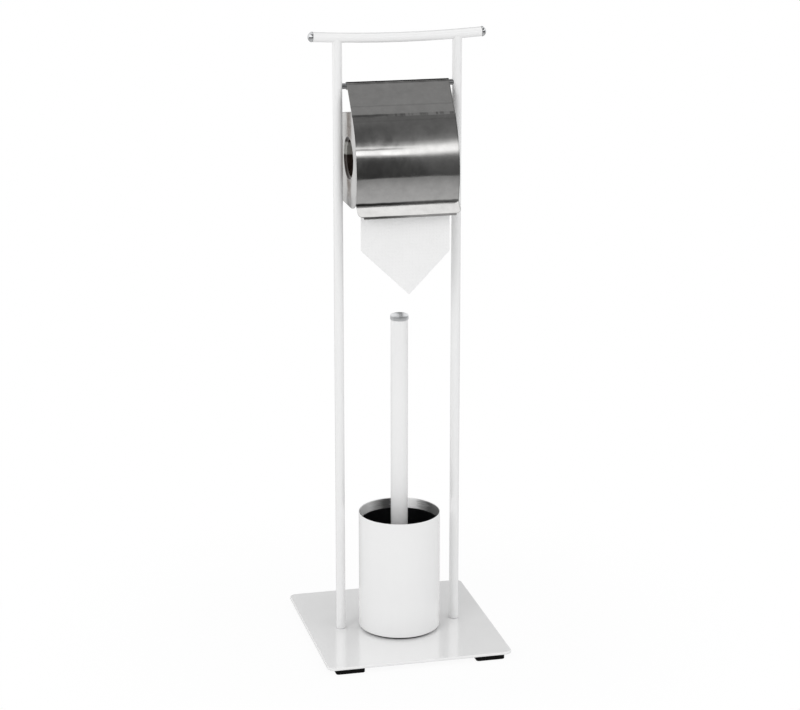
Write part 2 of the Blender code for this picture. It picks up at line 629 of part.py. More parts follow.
def make_cup(place):
    """The cup, its foot ring and its liner, about the cup's own axis."""
    inner = CUP_RADIUS - CUP_WALL
    floor = CUP_BOTTOM + CUP_WALL
    edge = arc(CUP_EDGE_RADIUS, -math.pi / 2, 0, CORNER_STEPS // 2,
               (CUP_RADIUS - CUP_EDGE_RADIUS, CUP_BOTTOM + CUP_EDGE_RADIUS))
    cup = [(0, CUP_BOTTOM)] + edge + [(CUP_RADIUS, CUP_RIM), (inner, CUP_RIM), (inner, floor), (0, floor)]
    piece("brush_cup", turned(cup), WHITE_ENAMEL, parent=place)
    low = PLATE_TOP + SEAT_GAP
    outer = CUP_RADIUS - RING_INSET
    bore = outer - CUP_EDGE_RADIUS - RING_HEIGHT
    ring = tube_section(bore, outer, low, low + RING_HEIGHT)
    piece("cup_foot_ring", turned(ring), BLACK_RUBBER, parent=place)
    rim = CUP_RIM - LINER_BELOW_RIM
    edge = arc(LINER_EDGE_RADIUS, -math.pi / 2, 0, CORNER_STEPS // 2,
               (LINER_RADIUS - LINER_EDGE_RADIUS, LINER_BOTTOM + LINER_EDGE_RADIUS))
    well = LINER_RADIUS - LINER_WALL
    inside = LINER_BOTTOM + LINER_WALL
    liner = [(0, LINER_BOTTOM)] + edge + [(LINER_RADIUS, rim), (well, rim), (well, inside), (0, inside)]
    piece("cup_liner", turned(liner), BLACK_PLASTIC, parent=place)


def make_brush(place):
    """The brush about the cup's axis: bristles on a core, a neck, a tube handle and its cap."""
    bristle_radius = LINER_RADIUS - LINER_WALL - BRISTLE_CLEARANCE
    core_bottom = HEAD_BOTTOM + BRISTLE_CROWN
    core = [(0, core_bottom), (BRUSH_CORE_RADIUS, core_bottom), (BRUSH_CORE_RADIUS, HEAD_TOP), (0, HEAD_TOP)]
    piece("brush_core", turned(core), WHITE_PLASTIC, parent=place)
    hole = BRUSH_CORE_RADIUS + SEAT_GAP
    seat = core_bottom - SEAT_GAP
    shoulder = bristle_radius - BRISTLE_CROWN
    crown = arc(BRISTLE_CROWN, -math.pi / 2, 0, CORNER_STEPS, (shoulder, HEAD_BOTTOM + BRISTLE_CROWN))
    top = arc(BRISTLE_CROWN, 0, math.pi / 2, CORNER_STEPS, (shoulder, HEAD_TOP - BRISTLE_CROWN))
    bristles = [(0, HEAD_BOTTOM)] + crown + top + [(hole, HEAD_TOP), (hole, seat), (0, seat)]
    piece("bristles", turned(bristles), BRISTLE, parent=place)
    bore = HANDLE_RADIUS - HANDLE_WALL
    plug = bore - SEAT_GAP
    neck_bottom = HEAD_TOP + SEAT_GAP
    collar = HANDLE_BOTTOM - SEAT_GAP
    neck = [
        (0, neck_bottom),
        (NECK_RADIUS, neck_bottom),
        (NECK_RADIUS, collar - NECK_COLLAR_HEIGHT),
        (HANDLE_RADIUS, collar - NECK_COLLAR_HEIGHT),
        (HANDLE_RADIUS, collar),
        (plug, collar),
        (plug, HANDLE_BOTTOM + NECK_PLUG_LENGTH),
        (0, HANDLE_BOTTOM + NECK_PLUG_LENGTH),
    ]
    piece("brush_neck", turned(neck), WHITE_PLASTIC, parent=place)
    handle = tube_section(bore, HANDLE_RADIUS, HANDLE_BOTTOM, HANDLE_TOP)
    piece("brush_handle", turned(handle), WHITE_ENAMEL, parent=place)
    seat = HANDLE_TOP + SEAT_GAP
    dome_radius = (HANDLE_CAP_RADIUS ** 2 + HANDLE_CAP_DOME ** 2) / (2 * HANDLE_CAP_DOME)
    dome_turn = math.asin(HANDLE_CAP_RADIUS / dome_radius)
    peak = seat + HANDLE_CAP_RIM + HANDLE_CAP_DOME
    dome = [(dome_radius * math.sin(a), peak - dome_radius * (1 - math.cos(a)))
            for a in (dome_turn * (1 - k / CORNER_STEPS) for k in range(CORNER_STEPS))]
    cap = [
        (0, seat - HANDLE_CAP_PLUG_LENGTH),
        (plug, seat - HANDLE_CAP_PLUG_LENGTH),
        (plug, seat),
        (HANDLE_CAP_RADIUS, seat),
    ] + dome + [(0, peak)]
    piece("handle_cap", turned(cap), CHROME, parent=place)


def main():
    clear_scene()
    make_base()
    make_bar()
    make_posts()
    make_hinge_rod()
    make_lid(pivot("lid_hinge", (0, 0, ROD_Z)))
    bracket = make_bracket()
    make_hanger(bracket)
    add_hubs(bracket)
    make_paper(pivot("roll_axis", (-PAPER_SHIFT, 0, ROLL_Z)))
    cup = pivot("cup_axis", (0, -CUP_FORWARD, 0))
    make_cup(cup)
    make_brush(pivot("brush_axis", (0, 0, 0), cup))


main()
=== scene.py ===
"""Dresses a free-standing bathroom stand: a lidded toilet roll holder over a toilet brush in its cup.

Laid out as a Blender add-on. Each operator makes one piece, or one group of like pieces, round the frame.
Metres, +Z up, +X to the right and -Y to the front, as in the frame.
"""

import math
import random

import bmesh
import bpy
from bpy.props import FloatProperty, FloatVectorProperty, IntProperty, PointerProperty
from mathutils import Matrix, Vector
from mathutils.geometry import tessellate_polygon


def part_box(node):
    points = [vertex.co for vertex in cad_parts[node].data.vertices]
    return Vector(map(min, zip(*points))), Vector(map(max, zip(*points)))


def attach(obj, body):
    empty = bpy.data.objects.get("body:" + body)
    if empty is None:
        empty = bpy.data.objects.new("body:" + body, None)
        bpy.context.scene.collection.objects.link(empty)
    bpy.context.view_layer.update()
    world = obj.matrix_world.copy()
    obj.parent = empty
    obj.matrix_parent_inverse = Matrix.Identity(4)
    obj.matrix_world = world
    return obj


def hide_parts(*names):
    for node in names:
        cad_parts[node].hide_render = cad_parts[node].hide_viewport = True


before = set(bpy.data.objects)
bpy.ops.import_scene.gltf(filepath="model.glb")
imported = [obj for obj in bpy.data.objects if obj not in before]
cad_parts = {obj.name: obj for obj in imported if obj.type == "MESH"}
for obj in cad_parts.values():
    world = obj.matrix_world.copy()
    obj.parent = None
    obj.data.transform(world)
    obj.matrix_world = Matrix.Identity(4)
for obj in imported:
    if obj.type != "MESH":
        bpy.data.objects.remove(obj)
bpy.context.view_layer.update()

bl_info = {
    "name": "Toilet roll and brush stand",
    "version": (1, 0, 0),
    "blender": (4, 5, 0),
    "location": "View3D > Sidebar > Stand",
    "description": "Dresses the frame of a free-standing toilet roll holder with a brush cup",
    "category": "Object",
}

# How finely round shapes are divided
FINE_STEPS = 96
SMALL_STEPS = 48
BEND_STEPS = 12
EDGE_STEPS = 3
SOCKET_SIDES = 6
SMOOTH_ANGLE = math.radians(32)
BEVEL_ANGLE = math.radians(50)
MERGE_DISTANCE = 1e-6
SEAT_GAP = 0.0003

# Places and sizes read from the frame
PLATE_LOW, PLATE_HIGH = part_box("base_plate")
PAD_LOW, PAD_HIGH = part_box("foot_pad_front_left")
POST_LOW, POST_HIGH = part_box("post_right")
ROD_LOW, ROD_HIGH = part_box("hinge_rod")
BAR_LOW, BAR_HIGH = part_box("top_bar")
LID_LOW, LID_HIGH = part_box("lid")
BRACKET_LOW, BRACKET_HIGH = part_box("roll_bracket")
STRAP_LOW, STRAP_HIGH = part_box("hanger")
RIVET_LOW, RIVET_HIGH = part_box("hanger_rivet_right")
ROLL_LOW, ROLL_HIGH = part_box("paper_roll")
CORE_LOW, CORE_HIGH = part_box("paper_core")
TAIL_LOW, TAIL_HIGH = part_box("paper_tail")
CUP_LOW, CUP_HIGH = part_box("brush_cup")
RING_LOW, RING_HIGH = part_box("cup_foot_ring")
WELL_LOW, WELL_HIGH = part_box("cup_liner")
HANDLE_LOW, HANDLE_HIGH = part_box("brush_handle")
KNOB_LOW, KNOB_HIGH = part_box("handle_cap")
NECK_LOW, NECK_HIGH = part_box("brush_neck")
HEAD_LOW, HEAD_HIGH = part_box("bristles")
STEM_LOW, STEM_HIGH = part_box("brush_core")

POST_X = (POST_LOW.x + POST_HIGH.x) / 2
POST_RADIUS = (POST_HIGH.x - POST_LOW.x) / 2
ROD_Z = (ROD_LOW.z + ROD_HIGH.z) / 2
ROD_RADIUS = (ROD_HIGH.z - ROD_LOW.z) / 2
ROLL_X = (ROLL_LOW.x + ROLL_HIGH.x) / 2
ROLL_Z = (ROLL_LOW.z + ROLL_HIGH.z) / 2
ROLL_RADIUS = (ROLL_HIGH.z - ROLL_LOW.z) / 2
CORE_RADIUS = (CORE_HIGH.z - CORE_LOW.z) / 2
CUP_Y = (CUP_LOW.y + CUP_HIGH.y) / 2
CUP_RADIUS = (CUP_HIGH.x - CUP_LOW.x) / 2

# Base, posts and bar
PLATE_CORNER = 0.008
PLATE_EDGE = 0.0009
PLATE_EDGE_STEPS = 4
PAD_CORNER = 0.003
PAD_EDGE = 0.0006
SCREW_HEAD = 0.0044
SCREW_SHANK = 0.0024
SCREW_SINK = 0.0018
SCREW_SOCKET = 0.0016
POST_WALL = 0.0013
BAR_RISE = 0.003
BAR_RADIUS = 0.005
BAR_SEAM = 0.0003
CAP_RADIUS = 0.0053
CAP_RIM = 0.0014
CAP_DOME = 0.0036
CAP_PLUG = 0.0034

# Lid: the same walk as the frame's, with more steps and a hem turned down along the lip
LID_SHEET = 0.0008
LID_EYE_TURN = math.radians(308)
LID_SLOPE = math.radians(50)
LID_BEND = math.radians(4)
LID_BEND_RADIUS = 0.010
LID_ARC = math.radians(52)
LID_ARC_RADIUS = 0.100
LID_TAIL_CLEARANCE = 0.0008
LIP_TURN = math.radians(66)
LIP_BEND_RADIUS = 0.0016
LIP_LENGTH = 0.0150
LIP_CORNER_RADIUS = 0.0055
HEM_RADIUS = 0.0008
HEM_TURN = math.radians(47)
HEM_LENGTH = 0.0016
SHEET_EDGE = 0.00018
EYE_WINDOW_HALF = 0.021

# Painted shade on the lid: dark lines in its colour that stand in for the dark reflections and shade along
# its bends and across its sheet. Each is (place along the sheet from the bend, half width, how much darker
# at the left and at the right, whether broken into dashes); those of the crease, fold and curl leave out the
# place. Then the lines' ends across the lid, and the right edge's painted shade: (where it starts and is
# full, in from the edge, how much darker)
LID_PAINTED_SHADE_LINES = ((-0.0012, 0.0024, 0.66, 0.52, True), (-0.0125, 0.0012, 0.12, 0.12, False),
                   (0.0052, 0.0014, 0.08, 0.08, False), (0.0347, 0.0014, 0.50, 0.0, False))
LID_CREASE_SHADE = (0.0026, 0.93, 0.70, False)
LID_FOLD_SHADE = (0.0016, 0.75, 0.0, False)
LID_CURL_SHADE = (0.0046, 0.80, 0.80, False)
LID_SHADE_ENDS = (-0.030, 0.012)
LID_EDGE_SHADE = (0.0017, 0.0006, 0.28)
LID_SHADE_DASH_LEVEL = 0.7

# Bracket, hanger strap and rivets
CHEEK_DISH_Y = -0.0115
CHEEK_DISH = 0.6
BRACKET_SHEET = 0.0012
BRACKET_BEND_RADIUS = 0.004
CHEEK_TOP_FALL = math.radians(9.5)
CHEEK_NOSE_LENGTH = 0.038
CHEEK_LID_CLEARANCE = 0.0004
HUB_BELOW_ROD = 0.0755
CHEEK_ABOVE_HUB = 0.0480
CHEEK_BELOW_HUB = 0.0504
HUB_MOUTH_RADIUS = 0.023
HUB_INNER_RADIUS = 0.0195
HUB_DRAW_RADIUS = 0.0016
HUB_CONE_DEPTH = 0.0026
HUB_DEPTH = 0.014
HUB_MOUTH_BLEND = 0.0004
# Painted shade and light in the hubs' colour: the dark inside of their mouths, and a lit band across them
# (where it starts, is full, ends and is gone); then how metallic the inside is, so that the painted colour
# shows
HUB_PAINTED_SHADE = (0.036, 0.026, 0.022, 1)
HUB_LIT = (0.44, 0.44, 0.415, 1)
HUB_LIT_RISE = (-0.0008, 0.0018, 0.0130, 0.0158)
HUB_METALLIC = 0.2
STRAP_SHEET = 0.0015
STRAP_FALL = math.radians(15)
STRAP_NOSE = 0.002
STRAP_BEND_RADIUS = 0.004
RIVET_SPACING = 0.020
RIVET_HEAD = 0.0036
RIVET_SHANK = 0.002
RIVET_DOME = 0.0012

# Paper
CORE_WALL = 0.001
CORE_SEAM_LEAD = 0.045
TAIL_SHEET = 0.00035
TAIL_WRAP = math.radians(48)
TAIL_COLUMNS = 72
TAIL_HUNG_ROWS = 84
TAIL_WRAP_ROWS = 24
TAIL_CORNER_DROP = 0.090
TAIL_SKEW = 0.004
TAIL_POINT_SHIFT = 0.004
ROLL_SHOULDER = 0.0012
ROLL_BORE_INSET = 0.001
# A layer's end: how far in it lies, the first and last further, how much that differs, and its round edges
LAYER_INSET = 0.0002
END_LAYER_INSET = 0.0006
LAYER_SHIFT = 0.00035
LAYER_CROWN = ((0.15, 0.00012), (0.5, 0), (0.85, 0.00012))
# The hanging sheet's sway: where it starts below the roll's axis and is full, its waves as (size, turns
# across, turns down, start), and how far the sheet's sides curl back
SWAY_START = 0.045
SWAY_RUN = 0.090
SWAY_WAVES = ((0.55, 46, 19, 0.7), (0.35, 95, -60, 2.1))
SWAY_CURL = 0.9

# Cup and brush
CUP_SHELL = 0.00055
CUP_LINING = 0.00040
CUP_RING_INSET = 0.0024
CUP_FOOT_EDGE = 0.002
WELL_WALL = 0.0015
WELL_FOOT_EDGE = 0.004
HANDLE_WALL = 0.001
KNOB_RIM = 0.0045
KNOB_DOME = 0.0022
NECK_RADIUS = 0.0065
NECK_COLLAR = 0.003
HEAD_CROWN = 0.012
HEAD_MARGIN = 0.0013
STRAND_ROOT = 0.0004
STRAND_SPLAY = 0.07
# Tufts round the stem's end: (height above it, lean, how many)
END_TUFTS = ((0.003, -0.55, 14), (0.0015, -0.95, 12), (0.0008, -1.3, 8))
# How much the strands of a tuft differ: round the stem, in lean, in height and in slant
STRAND_SPREADS = (0.035, 0.075, 0.0006, 0.10)
STRAND_SHORTEST = 0.93
STRAND_STEP = 0.0005
# The tufts' distance from the stem's two ends, where they stand straight, and how they lean from there
TUFT_MARGINS = (0.004, 0.003)
TUFT_UPRIGHT = 0.55
TUFT_LEAN = 0.35

# Grains: (cells to the metre along each axis, detail, height or tone, start)
LID_SWELL = ((14, 24, 24), 1.0, 0.00045)
LID_RIPPLE = ((55, 45, 45), 1.5, 0.00007)
LID_SHADE_WOBBLE = ((70, 5, 5), 2.0, 0.0016, -0.0008)
LID_SHADE_DASHES = ((240, 8, 8), 1.0)
LID_CLOUD = ((110, 130, 130), 4.0, 0.34, -0.19)
CHEEK_RIPPLE = ((30, 40, 40), 1.0, 0.00012)
LINING_BRUSHING = ((45, 45, 2400), 3.0, 0.00026)
LINING_REFLECTION_STREAKS = ((60, 60, 1100), 3.0, 0.36, -0.18)
CARD_FIBRE = ((380, 1400, 1400), 4.0, 0.5)
CARD_TONES = (1.18, 0.72)
# Painted reflection across the lining, the bright and dark bands that light leaves on brushed steel: (place
# from the left side, -1, to the right, 1, brightness)
LINING_PAINTED_REFLECTION = ((-1.0, 0.30), (-0.86, 0.80), (-0.60, 0.86), (-0.40, 0.46), (-0.16, 0.10), (0.0, 0.08),
                 (0.10, 0.55), (0.24, 1.25), (0.56, 1.25), (0.72, 0.60), (0.86, 0.14), (1.0, 0.16))

HUB_Z = ROD_Z - HUB_BELOW_ROD
CHEEK_OUTER_X = BRACKET_HIGH.x
CHEEK_INNER_X = CHEEK_OUTER_X - BRACKET_SHEET
BACK_Y = BRACKET_HIGH.y - BRACKET_SHEET
EYE_RADIUS = ROD_RADIUS + SEAT_GAP + LID_SHEET / 2
TAIL_FRONT = -TAIL_LOW.y
LEFT_RIGHT = ((-1, "left"), (1, "right"))

# finish: (roughness, metallic, coat, tone amount, tone scale, mark amount, mark scale, cells, detail, depth)
FINISH_VALUES = {
    "white_enamel": (0.20, 0.0, 0.35, 0.010, 18, 0.06, 40, (700, 700, 700), 2.0, 0.0000025),
    "polished_steel": (0.065, 1.0, 0.0, 0.030, 30, 0.05, 55, (25, 1600, 2600), 3.0, 0.0000012),
    "plain_steel": (0.34, 1.0, 0.0, 0.080, 400, 0.12, 300, (900, 900, 900), 3.0, 0.000010),
    "chrome": (0.05, 1.0, 0.0, 0.010, 60, 0.05, 120, (300, 300, 300), 2.0, 0.0000006),
    "black_rubber": (0.62, 0.0, 0.0, 0.120, 160, 0.12, 90, (1500, 1500, 1500), 4.0, 0.000030),
    "black_plastic": (0.38, 0.0, 0.0, 0.060, 80, 0.10, 60, (1300, 1300, 1300), 3.0, 0.000012),
    "white_plastic": (0.36, 0.0, 0.0, 0.015, 60, 0.08, 90, (1200, 1200, 1200), 3.0, 0.000006),
    "bristle": (0.38, 0.0, 0.0, 0.040, 300, 0.08, 200, (3000, 3000, 800), 2.0, 0.000004),
}

# Reflected studio as (sine of the height above the level, brightness): the softbox at the left side, the
# front as the lid's left and right ends see it, and the space behind the stand with a dark stripe and a
# darker right part
SIDE_BANDS = ((-1.0, 0.60), (-0.30, 0.45), (-0.17, 0.06), (0.02, 0.10), (0.10, 1.20), (0.70, 1.20),
              (0.80, 0.20), (1.0, 0.30))
LEFT_BANDS = ((-1.0, 0.60), (-0.55, 0.57), (-0.31, 0.45), (-0.245, 0.34), (-0.215, 0.035), (-0.03, 0.045),
              (0.10, 0.06), (0.19, 0.10), (0.235, 0.55), (0.265, 1.75), (0.30, 1.75), (0.36, 1.15),
              (0.405, 0.95), (0.435, 0.20), (0.52, 0.10), (0.70, 0.10), (0.80, 0.17), (0.87, 0.14),
              (0.90, 0.30), (0.945, 0.30), (0.96, 1.25), (1.0, 1.25))
RIGHT_BANDS = ((-1.0, 0.60), (-0.55, 0.57), (-0.32, 0.45), (-0.255, 0.35), (-0.22, 0.095), (-0.03, 0.12),
               (0.07, 0.15), (0.14, 0.20), (0.19, 0.31), (0.24, 0.80), (0.30, 1.36), (0.36, 1.50),
               (0.41, 1.36), (0.46, 0.75), (0.51, 0.32), (0.60, 0.21), (0.72, 0.18), (0.80, 0.15),
               (0.87, 0.18), (0.90, 0.30), (0.945, 0.30), (0.96, 1.25), (1.0, 1.25))
BACK_BANDS = ((-1.0, 0.60), (-0.30, 0.70), (-0.05, 0.96), (1.0, 0.90))
BACK_RIGHT_BANDS = ((-1.0, 0.30), (-0.40, 0.03), (0.30, 0.03), (0.55, 0.10), (1.0, 0.10))
# Where these parts meet, across and in depth; four numbers are where a strip starts, is full, ends and is
# gone
SIDE_EDGES = (-0.42, -0.28)
LEFT_RIGHT_EDGES = (0.215, 0.252)
FRONT_BACK_EDGES = (0.02, 0.30)
BACK_RIGHT_EDGES = (0.12, 0.19, 0.27, 0.36)
BACK_STRIPE = (-0.262, -0.250, -0.220, -0.208)
BACK_STRIPE_COLOUR = (0.27, 0.24, 0.22, 1)
WHITE = (1, 1, 1, 1)

# Floor: how white the camera sees it near the stand, and how bright the metal sees it, in front and behind
FLOOR_NEAR_WHITE = (0.12, 0.45, 0.93, 1.0)
FLOOR_FRONT_GLOW = (0.2, 2.2, 0.60, 0.32)
FLOOR_BACK_START = (0.8, 1.6)
FLOOR_BACK_GLOW = 0.74
FLOOR_STRIPE = (-0.276, -0.263, -0.232, -0.219)
FLOOR_STRIPE_GLOW = 0.24

# Lamps: name, place, aim, width, height, share of the key's power
LAMPS = (("lamp_left", (-1.5, -1.3, 1.2), (0, 0, 0.3), 0.8, 1.2, 1.0),
         ("lamp_right", (1.6, -1.2, 1.0), (0, 0, 0.3), 1.2, 1.4, 0.5),
         ("lamp_top", (0.2, 0.1, 2.0), (0, 0, 0), 1.4, 1.4, 0.22))


# Settings


class StandSizes(bpy.types.PropertyGroup):
    """Fine sizes and counts that the frame leaves open."""

    tissue_relief: FloatProperty(
        name="Tissue relief", description="Depth of the embossing in the paper",
        default=0.00011, min=0, unit="LENGTH")
    tissue_pitch: FloatProperty(
        name="Tissue pitch", description="Distance between two embossed dots",
        default=0.0036, min=0.001, unit="LENGTH")
    tail_sway: FloatProperty(
        name="Tail sway", description="How far the hanging sheet leaves its plane",
        default=0.0011, min=0, unit="LENGTH")
    roll_layers: IntProperty(
        name="Roll layers", description="Turns of paper that show at the roll's ends", default=19, min=1)
    tuft_rows: IntProperty(
        name="Tuft rows", description="Turns of tufts along the brush head", default=13, min=1)
    tufts_per_row: IntProperty(
        name="Tufts per row", description="Tufts in one turn round the brush head", default=16, min=3)
    strands_per_tuft: IntProperty(
        name="Strands per tuft", description="Bristles in one tuft", default=13, min=1)
    strand_radius: FloatProperty(
        name="Strand radius", description="Half the thickness of one bristle", default=0.00038, min=0,
        unit="LENGTH")
    seed: IntProperty(name="Seed", description="Fixes everything that is drawn at random", default=7)


class StandColours(bpy.types.PropertyGroup):
    """The base colour of each finish."""

    white_enamel: FloatVectorProperty(
        name="White enamel", description="Posts, bar, plate, cup and handle", subtype="COLOR",
        default=(0.88, 0.88, 0.88))
    polished_steel: FloatVectorProperty(
        name="Polished steel", description="Lid, bracket, strap and cup lining", subtype="COLOR",
        default=(0.597, 0.591, 0.582))
    plain_steel: FloatVectorProperty(
        name="Plain steel", description="Screws, plugs and rivets", subtype="COLOR",
        default=(0.52, 0.52, 0.53))
    chrome: FloatVectorProperty(
        name="Chrome", description="End caps, handle cap and rod", subtype="COLOR",
        default=(0.72, 0.73, 0.74))
    black_rubber: FloatVectorProperty(
        name="Black rubber", description="Foot pads and the cup's ring", subtype="COLOR",
        default=(0.005, 0.005, 0.005))
    black_plastic: FloatVectorProperty(
        name="Black plastic", description="The cup's liner", subtype="COLOR", default=(0.004, 0.004, 0.0045))
    white_plastic: FloatVectorProperty(
        name="White plastic", description="The brush's neck and stem", subtype="COLOR",
        default=(0.80, 0.80, 0.79))
    tissue: FloatVectorProperty(
        name="Tissue", description="Roll and hanging sheet", subtype="COLOR", default=(0.87, 0.87, 0.87))
    cardboard: FloatVectorProperty(
        name="Cardboard", description="The roll's core", subtype="COLOR", default=(0.47, 0.36, 0.25))
    bristle: FloatVectorProperty(
        name="Bristle", description="Nylon bristles", subtype="COLOR", default=(0.86, 0.87, 0.88))


class StandStage(bpy.types.PropertyGroup):
    """Camera and light."""

    azimuth: FloatProperty(
        name="Azimuth", description="Camera's turn round the stand", subtype="ANGLE",
        default=math.radians(-13.62))
    elevation: FloatProperty(
        name="Elevation", description="Camera's height above the level", subtype="ANGLE",
        default=math.radians(15.065))
    distance: FloatProperty(
        name="Distance", description="Camera to the point it looks at", default=2.493, unit="LENGTH")
    aim_height: FloatProperty(
        name="Aim height", description="Height of the point it looks at", default=0.35, unit="LENGTH")
    lens: FloatProperty(name="Lens", description="Focal length in millimetres", default=106.04)
    shift_x: FloatProperty(name="Shift X", description="Sideways shift of the frame", default=0.0031)
    shift_y: FloatProperty(name="Shift Y", description="Upward shift of the frame", default=-0.0429)
    floor_radius: FloatProperty(
        name="Floor radius", description="Half the width of the floor", default=2.3, unit="LENGTH")
    floor_colour: FloatVectorProperty(
        name="Floor colour", description="Pale studio floor", subtype="COLOR", default=(0.88, 0.88, 0.88))
    dome: FloatProperty(name="Dome", description="Strength of the soft light from all round", default=0.79)
    key_power: FloatProperty(name="Key", description="Power of the large left lamp", default=9, unit="POWER")


# Shapes


def softened(corners, closed=False):
    """An outline of (a, b, radius) corners, each rounded to its radius; the ends of an open one stay."""
    points = []
    total = len(corners)
    for k, (a, b, radius) in enumerate(corners):
        if radius == 0 or (not closed and k in (0, total - 1)):
            points.append((a, b))
            continue
        here = Vector((a, b))
        before = (Vector(corners[k - 1][:2]) - here).normalized()
        after = (Vector(corners[(k + 1) % total][:2]) - here).normalized()
        half = before.angle(after) / 2
        middle = here + (before + after).normalized() * (radius / math.sin(half))
        first = here + before * (radius / math.tan(half)) - middle
        last = here + after * (radius / math.tan(half)) - middle
        start = math.atan2(first.y, first.x)
        turn = (math.atan2(last.y, last.x) - start + math.pi) % math.tau - math.pi
        points += arc(radius, start, start + turn, EDGE_STEPS, middle)
    return points


def arc(radius, first, last, steps, centre=(0, 0)):
    angles = [first + (last - first) * k / steps for k in range(steps + 1)]
    return [(centre[0] + radius * math.cos(a), centre[1] + radius * math.sin(a)) for a in angles]


def tube_section(bore, radius, low, high, edge=SHEET_EDGE):
    return softened([(bore, low, edge), (radius, low, edge), (radius, high, edge), (bore, high, edge)],
                    closed=True)


def pot_section(radius, low, high, wall, floor, foot, rim, inside=0):
    """A round pot: its wall and floor, and how round its foot, its rim and the corner inside are."""
    bore = radius - wall
    return softened([(0, low, 0), (radius, low, foot), (radius, high, rim), (bore, high, rim),
                     (bore, low + floor, inside), (0, low + floor, 0)])


def bow_radius(half, rise):
    return (half ** 2 + rise ** 2) / (2 * rise)


def dome_section(wide, rise, peak):
    """A shallow dome from just inside its rim to its peak on the axis, as corners for an outline."""
    radius = bow_radius(wide, rise)
    turns = [math.asin(wide / radius) * (1 - k / BEND_STEPS) for k in range(1, BEND_STEPS)]
    return [(radius * math.sin(a), peak - radius * (1 - math.cos(a)), 0) for a in turns] + [(0, peak, 0)]


def turned(section, steps=SMALL_STEPS, place=None):
    """A body turned about +Z from (radius, height) points, from axis to axis or all the way round a ring."""
    shape = bmesh.new()
    turns = [math.tau * k / steps for k in range(steps)]
    rings = []
    for radius, height in section:
        if radius > MERGE_DISTANCE:
            ring = [shape.verts.new((radius * math.cos(a), radius * math.sin(a), height)) for a in turns]
        else:
            ring = [shape.verts.new((0, 0, height))] * steps
        rings.append(ring)
    if section[0][0] > 0:
        rings.append(rings[0])
    for one, two in zip(rings, rings[1:]):
        bridge(shape, one, two)
    if place is not None:
        bmesh.ops.transform(shape, matrix=place, verts=shape.verts)
    return shape


def at(x=0, y=0, z=0, turn=0, axis="X"):
    """The matrix that turns about an axis through the origin and then moves there."""
    return Matrix.Translation((x, y, z)) @ Matrix.Rotation(turn, 4, axis)


def prism(outline, low, high, along):
    """A prism of an outline: (x, y) points raised along Z, or (y, z) points along X."""
    shape = bmesh.new()
    place = {"X": lambda a, b, c: (c, a, b), "Z": lambda a, b, c: (a, b, c)}[along]
    face = shape.faces.new([shape.verts.new(place(a, b, low)) for a, b in outline])
    raised = bmesh.ops.extrude_face_region(shape, geom=[face])["geom"]
    moved = [item for item in raised if isinstance(item, bmesh.types.BMVert)]
    bmesh.ops.translate(shape, verts=moved, vec=place(0, 0, high - low))
    return shape


def slab(width, depth, low, high, corner, edge, segments):
    """A flat plate round the Z axis with round corners and soft rims."""
    outline = []
    for quarter, (side, end) in enumerate(((1, 1), (-1, 1), (-1, -1), (1, -1))):
        start = quarter * math.pi / 2
        centre = (side * (width / 2 - corner), end * (depth / 2 - corner))
        outline += arc(corner, start, start + math.pi / 2, BEND_STEPS, centre)
    shape = prism(outline, low, high, "Z")
    rims = [e for e in shape.edges if abs(e.verts[0].co.z - e.verts[1].co.z) < MERGE_DISTANCE]
    bmesh.ops.bevel(shape, geom=rims, offset=edge, segments=segments, profile=0.5, affect="EDGES")
    return shape


def bridge(shape, one, two):
    """Faces between two closed rings of as many corners; a ring may be one corner, repeated."""
    for k, start in enumerate(one):
        after = (k + 1) % len(one)
        shape.faces.new(list(dict.fromkeys((start, one[after], two[after], two[k]))))


def skinned(rings):
    """A body over rings of as many points each, with a face at each end."""
    shape = bmesh.new()
    rows = [[shape.verts.new(point) for point in ring] for ring in rings]
    for one, two in zip(rows, rows[1:]):
        bridge(shape, one, two)
    shape.faces.new(rows[0])
    shape.faces.new(rows[-1][::-1])
    return shape


class Walk:
    """The middle line of a bent sheet in one plane, drawn by going straight and turning."""

    def __init__(self, start, heading):
        self.points = [start]
        self.headings = [heading]

    def straight(self, distance, steps=1):
        for _ in range(steps):
            (a, b), heading = self.points[-1], self.headings[-1]
            step = distance / steps
            self.points.append((a + step * math.cos(heading), b + step * math.sin(heading)))
            self.headings.append(heading)
        return self

    def turn(self, radius, angle, steps=BEND_STEPS):
        (a, b), heading = self.points[-1], self.headings[-1]
        side = math.copysign(radius, angle)
        centre = (a - side * math.sin(heading), b + side * math.cos(heading))
        for k in range(1, steps + 1):
            now = heading + angle * k / steps
            self.points.append((centre[0] + side * math.sin(now), centre[1] - side * math.cos(now)))
            self.headings.append(now)
        return self

    def beside(self, distance):
        return [(a - distance * math.sin(h), b + distance * math.cos(h))
                for (a, b), h in zip(self.points, self.headings)]


def sheet_ring(half, thick, point, heading, edge=SHEET_EDGE):
    """A flat sheet's section with soft edges, set across its walk at one (y, z) point."""
    y, z = point
    corners = [(-half, -thick, edge), (half, -thick, edge), (half, thick, edge), (-half, thick, edge)]
    section = softened(corners, closed=True)
    return [(x, y - t * math.sin(heading), z + t * math.cos(heading)) for x, t in section]


def linked(name, mesh):
    made = bpy.data.objects.new(name, mesh)
    bpy.context.scene.collection.objects.link(made)
    return made


def mesh_of(name, shape):
    bmesh.ops.recalc_face_normals(shape, faces=shape.faces)
    mesh = bpy.data.meshes.new(name)
    shape.to_mesh(mesh)
    shape.free()
    return mesh


def carved(name, shape, *tools):
    """The mesh of a shape after other shapes are cut out of it."""
    body = linked(name + "_blank", mesh_of(name, shape))
    helpers = [body]
    for k, tool in enumerate(tools):
        helper = linked(f"{name}_tool_{k}", mesh_of(f"{name}_tool_{k}", tool))
        helpers.append(helper)
        boolean = body.modifiers.new(helper.name, "BOOLEAN")
        boolean.operation = "DIFFERENCE"
        boolean.object = helper
        boolean.solver = "EXACT"
    mesh = evaluated_mesh(body)
    for helper in helpers:
        bpy.data.objects.remove(helper, do_unlink=True)
    return mesh


